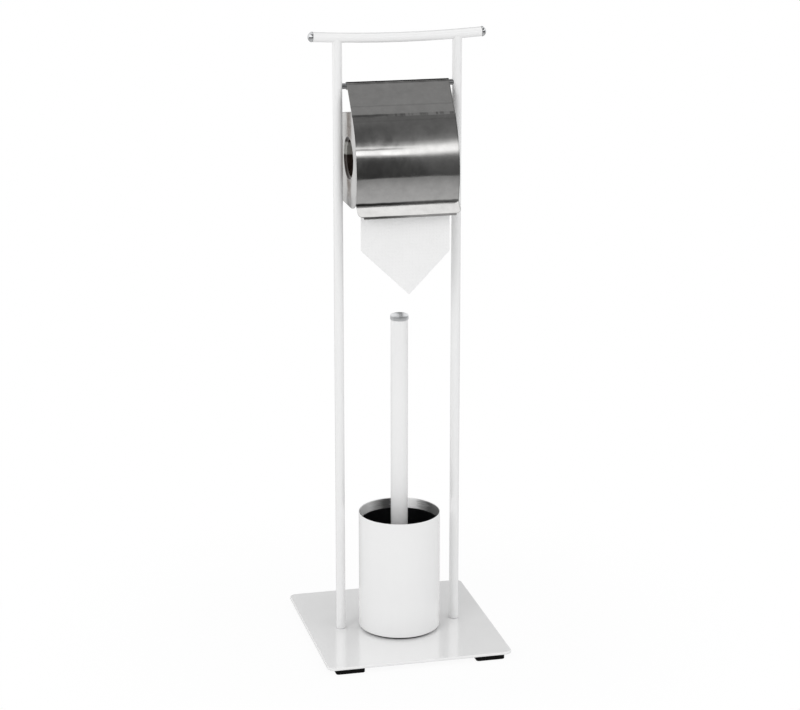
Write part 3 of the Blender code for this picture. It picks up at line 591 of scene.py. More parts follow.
def evaluated_mesh(item):
    """A plain mesh of what an object's modifiers make; the modifiers are then taken off."""
    depsgraph = bpy.context.evaluated_depsgraph_get()
    depsgraph.update()
    mesh = bpy.data.meshes.new_from_object(item.evaluated_get(depsgraph), depsgraph=depsgraph)
    item.modifiers.clear()
    return mesh


def dressed(name, mesh, finish, body, *nodes, slot=None, bevel=0, weighted=False):
    """One finished piece: shaded, given its material and set riding; the nodes it stands for are hidden."""
    if not mesh.polygons:
        raise RuntimeError(f"{name} came out empty")
    mesh.shade_smooth()
    mesh.set_sharp_from_angle(angle=SMOOTH_ANGLE)
    mesh.materials.clear()
    mesh.materials.append(material(finish))
    made = linked(name, mesh)
    if bevel:
        edge = made.modifiers.new("soft edges", "BEVEL")
        edge.width = bevel
        edge.segments = 2
        edge.limit_method = "ANGLE"
        edge.angle_limit = BEVEL_ANGLE
        edge.harden_normals = False
    if weighted or bevel:
        normals = made.modifiers.new("even shading", "WEIGHTED_NORMAL")
        normals.keep_sharp = not bevel
    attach(made, body)
    if nodes:
        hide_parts(*nodes)


def piece(name, shape, *arguments, **options):
    dressed(name, mesh_of(name, shape), *arguments, **options)


# Node building


class Nodes:
    """A node tree with short ways to add to it. An input that is a socket is linked, any other is set."""

    def __init__(self, tree):
        self.tree = tree

    def feed(self, node, inputs):
        for key, value in inputs.items():
            if isinstance(value, bpy.types.NodeSocket):
                self.tree.links.new(value, node.inputs[key])
            else:
                node.inputs[key].default_value = value

    def add(self, kind, inputs=None, **settings):
        """The outputs of a new node."""
        made = self.tree.nodes.new(kind)
        for key, value in settings.items():
            setattr(made, key, value)
        self.feed(made, inputs or {})
        return made.outputs

    def maths(self, operation, *values):
        return self.add("ShaderNodeMath", dict(enumerate(values)), operation=operation)[0]

    def times(self, first, second):
        return self.maths("MULTIPLY", first, second)

    def minus(self, first, second):
        return self.maths("SUBTRACT", first, second)

    def linear(self, value, rate, start):
        return self.maths("MULTIPLY_ADD", value, rate, start)

    def hypotenuse(self, first, second):
        squares = self.maths("ADD", self.times(first, first), self.times(second, second))
        return self.maths("POWER", squares, 0.5)

    def ranged(self, value, low, high, to_low=0.0, to_high=1.0):
        inputs = {"Value": value, "From Min": low, "From Max": high, "To Min": to_low, "To Max": to_high}
        return self.add("ShaderNodeMapRange", inputs, interpolation_type="SMOOTHSTEP")["Result"]

    def strip(self, value, edges):
        """1 inside a strip and 0 outside: where it starts, is full, ends and is gone."""
        return self.times(self.ranged(value, *edges[:2]), self.ranged(value, *edges[2:], 1.0, 0.0))

    def mix(self, factor, first, second, kind="RGBA"):
        inputs = {"Factor": factor, "A": first, "B": second}
        return self.add("ShaderNodeMix", inputs, data_type=kind)["Result"]

    def split(self, vector):
        return self.add("ShaderNodeSeparateXYZ", {0: vector})

    def joined(self, *values):
        return self.add("ShaderNodeCombineXYZ", dict(enumerate(values)))[0]

    def vectors(self, operation, inputs):
        return self.add("ShaderNodeVectorMath", inputs, operation=operation)[0]

    def noise(self, vector, scale, detail, roughness=0.5, distortion=0.0):
        return self.add("ShaderNodeTexNoise", {"Vector": vector, "Scale": scale, "Detail": detail,
                                               "Roughness": roughness, "Distortion": distortion})["Fac"]

    def bands(self, value, stops):
        """Grey levels along a value from -1 to 1, as (place, level) stops."""
        ramp = self.tree.nodes.new("ShaderNodeValToRGB")
        self.feed(ramp, {"Fac": self.linear(value, 0.5, 0.5)})
        elements = ramp.color_ramp.elements
        while len(elements) < len(stops):
            elements.new(0.5)
        for element, (place, level) in zip(elements, stops):
            element.position = place / 2 + 0.5
            element.color = (level, level, level, 1)
        return ramp.outputs["Color"]

    def give(self, **outputs):
        """Ends a group in its outputs."""
        self.feed(self.tree.nodes.new("NodeGroupOutput"), outputs)
        return self.tree

    def realized(self, geometry, finish):
        """Ends a Geometry Nodes group in a plain mesh with its finish."""
        real = self.add("GeometryNodeRealizeInstances", {"Geometry": geometry})["Geometry"]
        painted = self.add("GeometryNodeSetMaterial", {"Geometry": real, "Material": finish})["Geometry"]
        return self.give(Geometry=painted)


def new_group(name, kind, outputs, inputs):
    """The nodes and inputs of a new group. An input is given as its default value or its socket's type."""
    tree = bpy.data.node_groups.new(name, kind + "NodeTree")
    kinds = {int: "Int", float: "Float", tuple: "Vector"}
    for label, value in inputs.items():
        plain = value if isinstance(value, str) else kinds[type(value)]
        socket = tree.interface.new_socket(label, in_out="INPUT", socket_type="NodeSocket" + plain)
        if value != plain:
            socket.default_value = value
    for label, of_type in outputs.items():
        tree.interface.new_socket(label, in_out="OUTPUT", socket_type="NodeSocket" + of_type)
    return Nodes(tree), tree.nodes.new("NodeGroupInput").outputs


def grown(tree, values, holder=None):
    """The plain mesh that a Geometry Nodes tree makes; its inputs are set by their identifiers."""
    holder = holder or linked(tree.name, bpy.data.meshes.new(tree.name))
    modifier = holder.modifiers.new(tree.name, "NODES")
    modifier.node_group = tree
    for item in tree.interface.items_tree:
        if item.in_out == "INPUT" and item.name in values:
            modifier[item.identifier] = values[item.name]
    mesh = evaluated_mesh(holder)
    bpy.data.objects.remove(holder, do_unlink=True)
    return mesh


# Finishes


def once(build):
    """A shader group that is built on its first use and found again after that."""
    name = build.__name__.replace("_", " ")
    return lambda: bpy.data.node_groups.get(name) or build(name)


@once
def surface_grain(name):
    """Noise stretched along the axes, for brushing, grain and waviness, as a height from 0 to 1."""
    nodes, given = new_group(name, "Shader", {"Height": "Float"}, {
        "Vector": "Vector", "Cells": (100.0, 100.0, 100.0), "Detail": 3.0})
    stretched = nodes.vectors("MULTIPLY", {0: given["Vector"], 1: given["Cells"]})
    return nodes.give(Height=nodes.noise(stretched, 1.0, given["Detail"], 0.55))


@once
def tone_drift(name):
    """A colour that drifts lighter and darker over the surface."""
    nodes, given = new_group(name, "Shader", {"Colour": "Color"}, {
        "Vector": "Vector", "Colour": "Color", "Scale": 20.0, "Amount": 0.04})
    swing = nodes.linear(nodes.noise(given["Vector"], given["Scale"], 4.0, 0.6), 2.0, -1.0)
    level = nodes.linear(swing, given["Amount"], 1.0)
    return nodes.give(Colour=nodes.vectors("SCALE", {0: given["Colour"], "Scale": level}))


@once
def handling_marks(name):
    """A roughness that drifts where the surface has been handled."""
    nodes, given = new_group(name, "Shader", {"Roughness": "Float"}, {
        "Vector": "Vector", "Roughness": 0.3, "Scale": 30.0, "Amount": 0.05})
    mark = nodes.ranged(nodes.noise(given["Vector"], given["Scale"], 5.0, 0.65), 0.42, 0.66)
    return nodes.give(Roughness=nodes.linear(mark, given["Amount"], given["Roughness"]))


@once
def pressed_paper(name):
    """Soft paper: staggered pressed dots, fibre and a few faint creases, as a height and painted shade in
    dots and creases.
    """
    nodes, given = new_group(name, "Shader", {"Height": "Float", "Mask": "Float"}, {
        "Vector": "Vector", "Pitch": 0.004})
    rate = nodes.maths("DIVIDE", 1.0, given["Pitch"])
    across, along = [nodes.times(part, rate) for part in nodes.split(given["Vector"])[:2]]
    waves = [nodes.maths("SINE", nodes.times(nodes.maths(slant, across, along), math.pi))
             for slant in ("ADD", "SUBTRACT")]
    dots = nodes.ranged(nodes.times(*waves), 0.25, 0.9)
    fibre = nodes.noise(given["Vector"], 2400.0, 3.0)
    ridge = nodes.maths("ABSOLUTE", nodes.minus(nodes.noise(given["Vector"], 34.0, 2.0, 0.5, 0.8), 0.5))
    fold = nodes.ranged(ridge, 0.0, 0.045, 1.0, 0.0)
    height = nodes.linear(fold, 0.8, nodes.linear(dots, -0.55, nodes.times(fibre, 0.30)))
    return nodes.give(Height=height, Mask=nodes.linear(dots, 0.6, nodes.times(fold, 0.4)))


class Finish(Nodes):
    """A material's nodes, its shader and its object coordinates."""

    def __init__(self, name):
        self.material = bpy.data.materials.new(name + "_finish")
        self.material.use_nodes = True
        super().__init__(self.material.node_tree)
        self.shader = self.tree.nodes["Principled BSDF"]
        self.place = self.add("ShaderNodeTexCoord")["Object"]

    def shade(self, inputs):
        self.feed(self.shader, inputs)

    def group(self, tree, **inputs):
        return self.add("ShaderNodeGroup", {"Vector": self.place, **inputs}, node_tree=tree)

    def grain(self, cells, detail, height=1.0, start=0.0):
        """A grain's height above a start, with this many cells to the metre along each axis."""
        raw = self.group(surface_grain(), Cells=cells, Detail=detail)["Height"]
        return raw if (height, start) == (1.0, 0.0) else self.linear(raw, height, start)

    def bump(self, height, distance, **inputs):
        return self.add("ShaderNodeBump", {"Height": height, "Distance": distance, "Strength": 1.0,
                                           **inputs})["Normal"]

    def round_the_roll(self):
        """Places along the roll's axis, round it and out from it, and the angle round it."""
        x, y, z = self.split(self.place)
        rise = self.minus(z, ROLL_Z)
        angle = self.maths("ARCTAN2", rise, y)
        return x, self.times(angle, ROLL_RADIUS), self.hypotenuse(rise, y), angle


def plain_finish(name, like=None, rough=None, share=1.0):
    """A finish with drifting tone, handling marks and a fine grain, perhaps like another of its kind."""
    like = like or name
    roughness, metallic, coat, tone, tone_scale, mark, mark_scale, cells, detail, depth = FINISH_VALUES[like]
    finish = Finish(name)
    colour = [c * share for c in getattr(bpy.context.scene.stand_colours, like)]
    finish.tone = finish.group(tone_drift(), Colour=(*colour, 1), Scale=tone_scale, Amount=tone)["Colour"]
    marks = finish.group(handling_marks(), Roughness=rough or roughness, Scale=mark_scale, Amount=mark)
    finish.fine = finish.bump(finish.grain(cells, detail), depth)
    finish.shade({"Base Color": finish.tone, "Roughness": marks["Roughness"], "Normal": finish.fine,
                  "Metallic": metallic, "Specular IOR Level": 0.06 if name.startswith("black") else 0.5,
                  "Coat Weight": coat, "Coat Roughness": 0.06})
    return finish


def tissue_finish(name):
    """Soft tissue. On the roll the pressed pattern runs round it, and its ends show the layers."""
    sizes = bpy.context.scene.stand_sizes
    colour = bpy.context.scene.stand_colours.tissue
    finish = Finish(name)
    wound = name == "wound_tissue"
    if wound:
        along, around, out, _ = finish.round_the_roll()
        flat = finish.joined(along, around)
    else:
        x, _, z = finish.split(finish.place)
        flat = finish.joined(x, z)
    pressed = finish.group(pressed_paper(), Vector=flat, Pitch=sizes.tissue_pitch)
    height, painted_shade = pressed["Height"], pressed["Mask"]
    if wound:
        half = (ROLL_HIGH.x - ROLL_LOW.x) / 2
        end = finish.ranged(finish.maths("ABSOLUTE", finish.minus(along, ROLL_X)), half - ROLL_SHOULDER,
                            half - ROLL_SHOULDER / 2)
        rings = finish.times(out, math.tau * sizes.roll_layers * 2 / (ROLL_RADIUS - CORE_RADIUS))
        rings = finish.times(finish.maths("SINE", rings), 0.5)
        height = finish.mix(end, height, rings, "FLOAT")
        painted_shade = finish.mix(end, painted_shade, rings, "FLOAT")
    # Painted shade: the colour darkens slightly in the pressed dots and creases, and goes lighter and darker
    # in rings along the layers at the roll's ends
    shade = finish.mix(finish.times(painted_shade, 0.18), (*colour, 1), (*[c * 0.90 for c in colour], 1))
    tone = finish.group(tone_drift(), Colour=shade, Scale=45, Amount=0.03)["Colour"]
    finish.shade({"Base Color": tone, "Normal": finish.bump(height, sizes.tissue_relief), "Roughness": 0.95,
                  "Specular IOR Level": 0.2, "Sheen Weight": 0.15, "Sheen Roughness": 0.6})
    return finish


def card_finish(name):
    """Brown board with fibre and the seam of its spiral winding."""
    colour = bpy.context.scene.stand_colours.cardboard
    finish = Finish(name)
    along, _, _, angle = finish.round_the_roll()
    winding = finish.linear(along, 1 / CORE_SEAM_LEAD, finish.maths("DIVIDE", angle, math.tau))
    seam = finish.ranged(finish.maths("FRACT", winding), 0.0, 0.025, 1.0, 0.0)
    fibre = finish.grain(*CARD_FIBRE)
    pale, dark = [(*[min(c * share, 1) for c in colour], 1) for share in CARD_TONES]
    tone = finish.mix(finish.maths("ADD", fibre, finish.times(seam, 0.4)), pale, dark)
    finish.shade({"Base Color": tone, "Normal": finish.bump(finish.linear(seam, -1.0, fibre), 0.00012),
                  "Roughness": 0.88})
    return finish


def lid_finish(name):
    """The lid's sheet: slightly wavy, faintly clouded, with painted shade lines for the dark reflections
    along its bends.
    """
    finish = plain_finish(name, "polished_steel")
    relief = finish.grain(*LID_RIPPLE, finish.grain(*LID_SWELL))
    along = finish.add("ShaderNodeAttribute", attribute_name="along", attribute_type="GEOMETRY")["Fac"]
    wavy = finish.maths("ADD", along, finish.grain(*LID_SHADE_WOBBLE))
    across = finish.split(finish.place)[0]
    dashes = finish.ranged(finish.grain(*LID_SHADE_DASHES), 0.40, 0.60)
    dashes = finish.maths("MAXIMUM", dashes, finish.ranged(across, *LID_SHADE_ENDS, 1.0, 0.0))
    dashes = finish.linear(dashes, LID_SHADE_DASH_LEVEL, 1 - LID_SHADE_DASH_LEVEL)
    crease = LID_BEND_RADIUS * LID_BEND + LID_ARC_RADIUS * LID_ARC + LIP_BEND_RADIUS * LIP_TURN / 2
    fold = crease + LIP_BEND_RADIUS * LIP_TURN / 2 + LIP_LENGTH + HEM_LENGTH / 2
    curl = -lid_flat_length() - LID_CURL_SHADE[0] / 2
    # Painted shade: the colour darkens along these lines and near the right edge, for dark reflections and
    # shade
    inset, full, depth = LID_EDGE_SHADE
    shade = finish.ranged(across, LID_HIGH.x - inset, LID_HIGH.x - full, 0.0, depth)
    for centre, half, left, right, broken in LID_PAINTED_SHADE_LINES + ((crease,) + LID_CREASE_SHADE, (fold,) + LID_FOLD_SHADE,
                                                                (curl,) + LID_CURL_SHADE):
        off = finish.maths("ABSOLUTE", finish.minus(wavy, centre))
        line = finish.times(finish.ranged(off, half * 0.3, half, 1.0, 0.0),
                            finish.ranged(across, *LID_SHADE_ENDS, left, right))
        shade = finish.maths("MAXIMUM", shade, finish.times(line, dashes) if broken else line)
    keep = finish.minus(1.0, finish.maths("ADD", shade, finish.grain(*LID_CLOUD)))
    finish.shade({"Base Color": finish.vectors("SCALE", {0: finish.tone, "Scale": keep}),
                  "Normal": finish.bump(relief, 1.0, Normal=finish.fine)})
    return finish


def bracket_finish(name):
    """The bracket's sheet: its cheeks are slightly dished, with painted shade inside its hubs and a painted
    light band.
    """
    finish = plain_finish(name, "polished_steel")
    _, y, z = finish.split(finish.place)
    off = finish.minus(y, CHEEK_DISH_Y)
    relief = finish.grain(*CHEEK_RIPPLE, finish.times(finish.times(off, off), CHEEK_DISH))
    rise = finish.minus(z, HUB_Z)
    inside = finish.ranged(finish.hypotenuse(rise, y), HUB_MOUTH_RADIUS - HUB_MOUTH_BLEND, HUB_MOUTH_RADIUS,
                           1.0, 0.0)
    # Painted shade inside the hub's mouth, with a painted light band across it
    hub = finish.mix(finish.strip(rise, HUB_LIT_RISE), HUB_PAINTED_SHADE, HUB_LIT)
    finish.shade({"Base Color": finish.mix(inside, finish.tone, hub),
                  "Metallic": finish.linear(inside, HUB_METALLIC - 1, 1.0),
                  "Normal": finish.bump(relief, 1.0, Normal=finish.fine)})
    return finish


def lining_finish(name):
    """Bare sheet brushed round the cup: fine lines spread light up and down, and painted reflection bands
    make it lighter and darker.
    """
    finish = plain_finish(name, "polished_steel", 0.42)
    across = finish.maths("DIVIDE", finish.split(finish.place)[0], CUP_RADIUS)
    across = finish.maths("ADD", across, finish.grain(*LINING_REFLECTION_STREAKS))
    # Painted reflection: bright and dark bands across the cup, set in the lining's colour
    finish.shade({"Base Color": finish.bands(across, LINING_PAINTED_REFLECTION), "Metallic": 0.25,
                  "Normal": finish.bump(finish.grain(*LINING_BRUSHING), 1.0, Normal=finish.fine)})
    return finish


SPECIAL_FINISHES = {
    "tissue": tissue_finish,
    "wound_tissue": tissue_finish,
    "cardboard": card_finish,
    "lid_steel": lid_finish,
    "bracket_steel": bracket_finish,
    "lining_steel": lining_finish,
    # Copies of chrome: the handle cap's is satin and its colour is raised as painted light; the rod's colour
    # is lowered as painted shade
    "satin_chrome": lambda name: plain_finish(name, "chrome", 0.30, 1.15),
    "dark_chrome": lambda name: plain_finish(name, "chrome", 0.12, 0.42),
}


def material(name):
    """The finish of this name, made on its first use."""
    found = bpy.data.materials.get(name + "_finish")
    return found or SPECIAL_FINISHES.get(name, plain_finish)(name).material


# Copies


def line_tree():
    """Copies of one piece at even steps along a line."""
    nodes, given = new_group("copies on a line", "Geometry", {"Geometry": "Geometry"}, {
        "Piece": "Object", "Count": 2, "Start": (0.0, 0.0, 0.0), "Step": (0.1, 0.0, 0.0),
        "Finish": "Material"})
    line = nodes.add("GeometryNodeMeshLine", {"Count": given["Count"], "Start Location": given["Start"],
                                              "Offset": given["Step"]}, mode="OFFSET")
    return finish_copies(nodes, given, line["Mesh"])


def grid_tree():
    """Copies of one piece at the corners of a rectangle."""
    nodes, given = new_group("copies on a grid", "Geometry", {"Geometry": "Geometry"}, {
        "Piece": "Object", "Width": 0.1, "Depth": 0.1, "Finish": "Material"})
    grid = nodes.add("GeometryNodeMeshGrid", {"Size X": given["Width"], "Size Y": given["Depth"],
                                              "Vertices X": 2, "Vertices Y": 2})
    return finish_copies(nodes, given, grid["Mesh"])


def finish_copies(nodes, given, points):
    source = nodes.add("GeometryNodeObjectInfo", {"Object": given["Piece"]})["Geometry"]
    placed = nodes.add("GeometryNodeInstanceOnPoints", {"Points": points, "Instance": source})["Instances"]
    return nodes.realized(placed, given["Finish"])


def copied(name, shape, tree, values, finish, body, *nodes):
    """Copies of one shape as one plain piece."""
    source = linked(name + "_source", mesh_of(name + "_source", shape))
    mesh = grown(tree, {"Piece": source, "Finish": material(finish), **values})
    bpy.data.objects.remove(source, do_unlink=True)
    dressed(name, mesh, finish, body, *nodes)


# The stand


class STAND_OT_base(bpy.types.Operator):
    """Makes the base plate, its foot pads and the screws under it"""

    bl_idname = "stand.base"
    bl_label = "Base plate, pads and screws"

    def execute(self, context):
        size = PLATE_HIGH - PLATE_LOW
        plate = slab(size.x, size.y, PLATE_LOW.z, PLATE_HIGH.z, PLATE_CORNER, PLATE_EDGE, PLATE_EDGE_STEPS)
        wide = SCREW_HEAD + SEAT_GAP
        clear = SCREW_SHANK + SEAT_GAP
        through = size.z * 2
        sink = [(0, -SEAT_GAP), (wide, -SEAT_GAP), (wide, 0), (clear, SCREW_SINK + SEAT_GAP),
                (clear, through), (0, through)]
        holes = [turned(sink, place=at(side * POST_X, 0, PLATE_LOW.z)) for side, _ in LEFT_RIGHT]
        dressed("enamelled_plate", carved("enamelled_plate", plate, *holes), "white_enamel", "stand",
                "base_plate", weighted=True)
        block = PAD_HIGH - PAD_LOW
        pad = slab(block.x, block.y, 0, block.z, PAD_CORNER, PAD_EDGE, EDGE_STEPS)
        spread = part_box("foot_pad_rear_right")[0] - PAD_LOW
        copied("foot_pads", pad, grid_tree(), {"Width": spread.x, "Depth": spread.y}, "black_rubber", "stand",
               "foot_pad_front_left", "foot_pad_front_right", "foot_pad_rear_left", "foot_pad_rear_right")
        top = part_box("base_screw_right")[1].z - PLATE_LOW.z
        body = softened([(0, 0, 0), (SCREW_HEAD, 0, SHEET_EDGE), (SCREW_SHANK, SCREW_SINK, 0),
                         (SCREW_SHANK, top, SHEET_EDGE), (0, top, 0)])
        socket = [(0, -SEAT_GAP), (SCREW_SOCKET, -SEAT_GAP), (SCREW_SOCKET, SCREW_SOCKET), (0, SCREW_SOCKET)]
        screw = bmesh.new()
        screw.from_mesh(carved("screw", turned(body), turned(socket, SOCKET_SIDES)))
        copied("plate_screws", screw, line_tree(),
               {"Start": (-POST_X, 0, PLATE_LOW.z), "Step": (2 * POST_X, 0, 0)}, "plain_steel", "stand",
               "base_screw_left", "base_screw_right")
        return {"FINISHED"}


def bar_tree():
    """A round bar swept along a shallow arc."""
    nodes, given = new_group("bowed bar", "Geometry", {"Geometry": "Geometry"}, {
        "Bow radius": 1.0, "Half turn": 0.1, "Bar radius": 0.005, "Height": 0.6, "Finish": "Material"})
    line = nodes.add("GeometryNodeCurveArc", {
        "Resolution": FINE_STEPS, "Radius": given["Bow radius"],
        "Start Angle": nodes.minus(-math.pi / 2, given["Half turn"]),
        "Sweep Angle": nodes.times(given["Half turn"], 2.0)}, mode="RADIUS")
    ring = nodes.add("GeometryNodeCurvePrimitiveCircle",
                     {"Resolution": SMALL_STEPS, "Radius": given["Bar radius"]}, mode="RADIUS")
    swept = nodes.add("GeometryNodeCurveToMesh", {"Curve": line["Curve"], "Profile Curve": ring["Curve"],
                                                  "Fill Caps": True})
    lift = nodes.joined(0.0, 0.0, nodes.maths("ADD", given["Height"], given["Bow radius"]))
    stood = nodes.add("GeometryNodeTransform", {"Geometry": swept["Mesh"], "Translation": lift,
                                                "Rotation": (math.pi / 2, 0, 0)})
    return nodes.realized(stood["Geometry"], given["Finish"])


class STAND_OT_posts(bpy.types.Operator):
    """Makes the posts, the bowed bar with its end caps, and the lid's rod"""

    bl_idname = "stand.posts"
    bl_label = "Posts, bar and rod"

    def execute(self, context):
        middle = BAR_LOW.z + BAR_RADIUS
        bore = POST_RADIUS - POST_WALL
        tube = softened([(bore, POST_LOW.z, 0), (POST_RADIUS, POST_LOW.z, SHEET_EDGE),
                         (POST_RADIUS, middle, 0), (bore, middle, 0)], closed=True)
        for side, name in LEFT_RIGHT:
            piece("post_tube_" + name, turned(tube, place=at(side * POST_X)), "white_enamel", "stand",
                  "post_" + name)
        half_bar = (BAR_HIGH.x - BAR_LOW.x) / 2
        bow = bow_radius(half_bar, BAR_RISE)
        half = math.asin(half_bar / bow)
        mesh = grown(bar_tree(), {"Bow radius": bow, "Half turn": half, "Bar radius": BAR_RADIUS,
                                  "Height": middle, "Finish": material("white_enamel")})
        dressed("bowed_bar", mesh, "white_enamel", "stand", "top_bar")
        rim = BAR_SEAM + CAP_RIM
        cap = softened([(0, -CAP_RADIUS, 0), (CAP_PLUG, -CAP_RADIUS, 0), (CAP_PLUG, BAR_SEAM, 0),
                        (CAP_RADIUS, BAR_SEAM, SHEET_EDGE), (CAP_RADIUS, rim, 0)]
                       + dome_section(CAP_RADIUS, CAP_DOME, rim + CAP_DOME))
        for side, name in LEFT_RIGHT:
            place = at(side * bow * math.sin(half), 0, middle + BAR_RISE, side * (math.pi / 2 - half), "Y")
            piece("bar_end_" + name, turned(cap, place=place), "chrome", "stand", "bar_cap_" + name)
        reach = (ROD_HIGH.x - ROD_LOW.x) / 2
        rod = softened([(0, -reach, 0), (ROD_RADIUS, -reach, SHEET_EDGE), (ROD_RADIUS, reach, SHEET_EDGE),
                        (0, reach, 0)])
        piece("lid_rod", turned(rod, place=at(0, 0, ROD_Z, math.pi / 2, "Y")), "dark_chrome", "stand",
              "hinge_rod", slot="chrome")
        for _, name in LEFT_RIGHT:
            repaint("post_plug_" + name, "plain_steel")
        return {"FINISHED"}


def repaint(node, finish):
    """Gives a carried-over node its finish, without touching its shape."""
    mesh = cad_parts[node].data
    for k in range(len(mesh.materials)):
        mesh.materials[k] = material(finish)


def lid_walk(hem=True):
    """The lid's middle line as (y, z), and where its flat starts and its rounded lip starts and ends."""
    start = math.pi / 2 + LID_SLOPE - LID_EYE_TURN
    walk = Walk((EYE_RADIUS * math.cos(start), EYE_RADIUS * math.sin(start) + ROD_Z), start + math.pi / 2)
    walk.turn(EYE_RADIUS, LID_EYE_TURN, SMALL_STEPS)
    marks = [len(walk.points) - 1]
    walk.straight(lid_flat_length(), BEND_STEPS)
    walk.turn(LID_BEND_RADIUS, LID_BEND, BEND_STEPS // 2)
    walk.turn(LID_ARC_RADIUS, LID_ARC, FINE_STEPS)
    walk.turn(LIP_BEND_RADIUS, -LIP_TURN)
    walk.straight(LIP_LENGTH - LIP_CORNER_RADIUS, 2)
    marks.append(len(walk.points) - 1)
    sines = [math.sin(math.pi / 2 * k / BEND_STEPS) for k in range(BEND_STEPS + 1)]
    for one, two in zip(sines, sines[1:]):
        walk.straight(LIP_CORNER_RADIUS * (two - one))
    marks.append(len(walk.points) - 1)
    if hem:
        walk.turn(HEM_RADIUS, HEM_TURN)
        walk.straight(HEM_LENGTH)
    return walk, *marks


def lid_flat_length():
    crease = LID_SLOPE + LID_BEND + LID_ARC
    reach = TAIL_FRONT + LID_TAIL_CLEARANCE + LID_SHEET / 2 / math.sin(crease)
    eye = EYE_RADIUS * math.sin(LID_SLOPE)
    bend = LID_BEND_RADIUS * (math.sin(LID_SLOPE + LID_BEND) - math.sin(LID_SLOPE))
    front = LID_ARC_RADIUS * (math.sin(crease) - math.sin(LID_SLOPE + LID_BEND))
    return (reach - eye - bend - front) / math.cos(LID_SLOPE)


class STAND_OT_lid(bpy.types.Operator):
    """Makes the bent lid, from the eye round the rod to its hemmed lip"""

    bl_idname = "stand.lid"
    bl_label = "Lid"

    def execute(self, context):
        walk, _, corner_start, corner_end = lid_walk()
        half_sheet = LID_SHEET / 2
        full = (LID_HIGH.x - LID_LOW.x) / 2
        rings = []
        for k, (point, heading) in enumerate(zip(walk.points, walk.headings)):
            turn = math.pi / 2 * min(max(k - corner_start, 0) / (corner_end - corner_start), 1)
            half = full - LIP_CORNER_RADIUS * (1 - math.cos(turn))
            inset = SHEET_EDGE if k in (0, len(walk.points) - 1) else 0
            rings.append(sheet_ring(half - inset, half_sheet - inset, point, heading))
        wide = EYE_RADIUS + LID_SHEET + SEAT_GAP
        near = EYE_RADIUS + half_sheet
        window = [(-near, ROD_Z - wide), (wide, ROD_Z - wide), (wide, ROD_Z + wide), (0, ROD_Z + wide),
                  (0, ROD_Z), (-near, ROD_Z)]
        mesh = carved("bent_lid", skinned(rings), prism(window, -EYE_WINDOW_HALF, EYE_WINDOW_HALF, "X"))
        mark_along(mesh, walk)
        dressed("bent_lid", mesh, "lid_steel", "lid", "lid", slot="polished_steel", weighted=True)
        return {"FINISHED"}


def mark_along(mesh, walk):
    """Stores how far along the bent sheet each corner lies, from the start of the flat's lower bend."""
    places = [Vector(point) for point in walk.points]
    distances = [0.0]
    for one, two in zip(places, places[1:]):
        distances.append(distances[-1] + (two - one).length)
    bend = distances[SMALL_STEPS + BEND_STEPS]
    values = []
    for corner in mesh.vertices:
        here = corner.co.yz
        nearest = min(range(len(places)), key=lambda k: (places[k] - here).length_squared)
        values.append(distances[nearest] - bend)
    mesh.attributes.new("along", "FLOAT", "POINT").data.foreach_set("value", values)


def cheek_outline():
    """The cheek's side view as (y, z), open at the rear where the bend to the back begins."""
    rear = BACK_Y + BRACKET_SHEET / 2 - BRACKET_BEND_RADIUS
    top = HUB_Z + CHEEK_ABOVE_HUB
    bottom = HUB_Z - CHEEK_BELOW_HUB
    fall = math.tan(CHEEK_TOP_FALL)
    walk, eye_end, _, _ = lid_walk(hem=False)
    inside = walk.beside(LID_SHEET / 2 + CHEEK_LID_CLEARANCE)
    upright = min(range(len(inside)), key=lambda k: abs(walk.headings[k] - math.pi * 3 / 2))
    front = [(y, z) for y, z in inside[eye_end + 1:upright + 1] if z < top - fall * y]
    slope = math.tan(LID_SLOPE)
    start_y, start_z = inside[eye_end]
    meet_y = (top - start_z + slope * start_y) / (slope + fall)
    front_y, front_z = front[-1]
    quarter = [math.pi / 2 * k / (2 * BEND_STEPS) for k in range(1, 2 * BEND_STEPS + 1)]
    nose = [(front_y + CHEEK_NOSE_LENGTH * (1 - math.cos(a)), front_z - (front_z - bottom) * math.sin(a))
            for a in quarter]
    return [(rear, top - fall * rear), (meet_y, top - fall * meet_y)] + front + nose + [(rear, bottom)]


class STAND_OT_bracket(bpy.types.Operator):
    """Makes the bracket with its drawn hubs, the strap that carries it, and the rivets"""

    bl_idname = "stand.bracket"
    bl_label = "Bracket, strap and rivets"

    def execute(self, context):
        piece("cheek_bracket", bracket_shape(), "bracket_steel", "stand", "roll_bracket",
              slot="polished_steel", bevel=SHEET_EDGE)
        walk = strap_walk()
        half = (STRAP_HIGH.x - STRAP_LOW.x) / 2
        strap = skinned([sheet_ring(half, STRAP_SHEET / 2, point, heading)
                         for point, heading in zip(walk.points, walk.headings)])
        piece("hanger_strap", strap, "polished_steel", "stand", "hanger", weighted=True)
        front, rear = -SEAT_GAP, BRACKET_SHEET + SEAT_GAP + STRAP_SHEET + SEAT_GAP
        turns = [math.pi / 2 * k / BEND_STEPS for k in range(1, BEND_STEPS + 1)]
        dome = [(RIVET_HEAD * math.sin(a), RIVET_DOME * math.cos(a)) for a in turns]
        section = [(0, front - RIVET_DOME)] + [(r, front - h) for r, h in dome]
        section += [(RIVET_SHANK, front), (RIVET_SHANK, rear)]
        section += [(r, rear + h) for r, h in dome[::-1]] + [(0, rear + RIVET_DOME)]
        rivet = turned(section, place=Matrix.Rotation(-math.pi / 2, 4, "X"))
        height = (RIVET_LOW.z + RIVET_HIGH.z) / 2
        copied("strap_rivets", rivet, line_tree(),
               {"Start": (-RIVET_SPACING / 2, BACK_Y, height), "Step": (RIVET_SPACING, 0, 0)}, "plain_steel",
               "stand", "hanger_rivet_left", "hanger_rivet_right")
        return {"FINISHED"}


def hub_circle(radius):
    return [(radius * math.cos(a), HUB_Z + radius * math.sin(a))
            for a in (math.tau * k / FINE_STEPS for k in range(FINE_STEPS))]


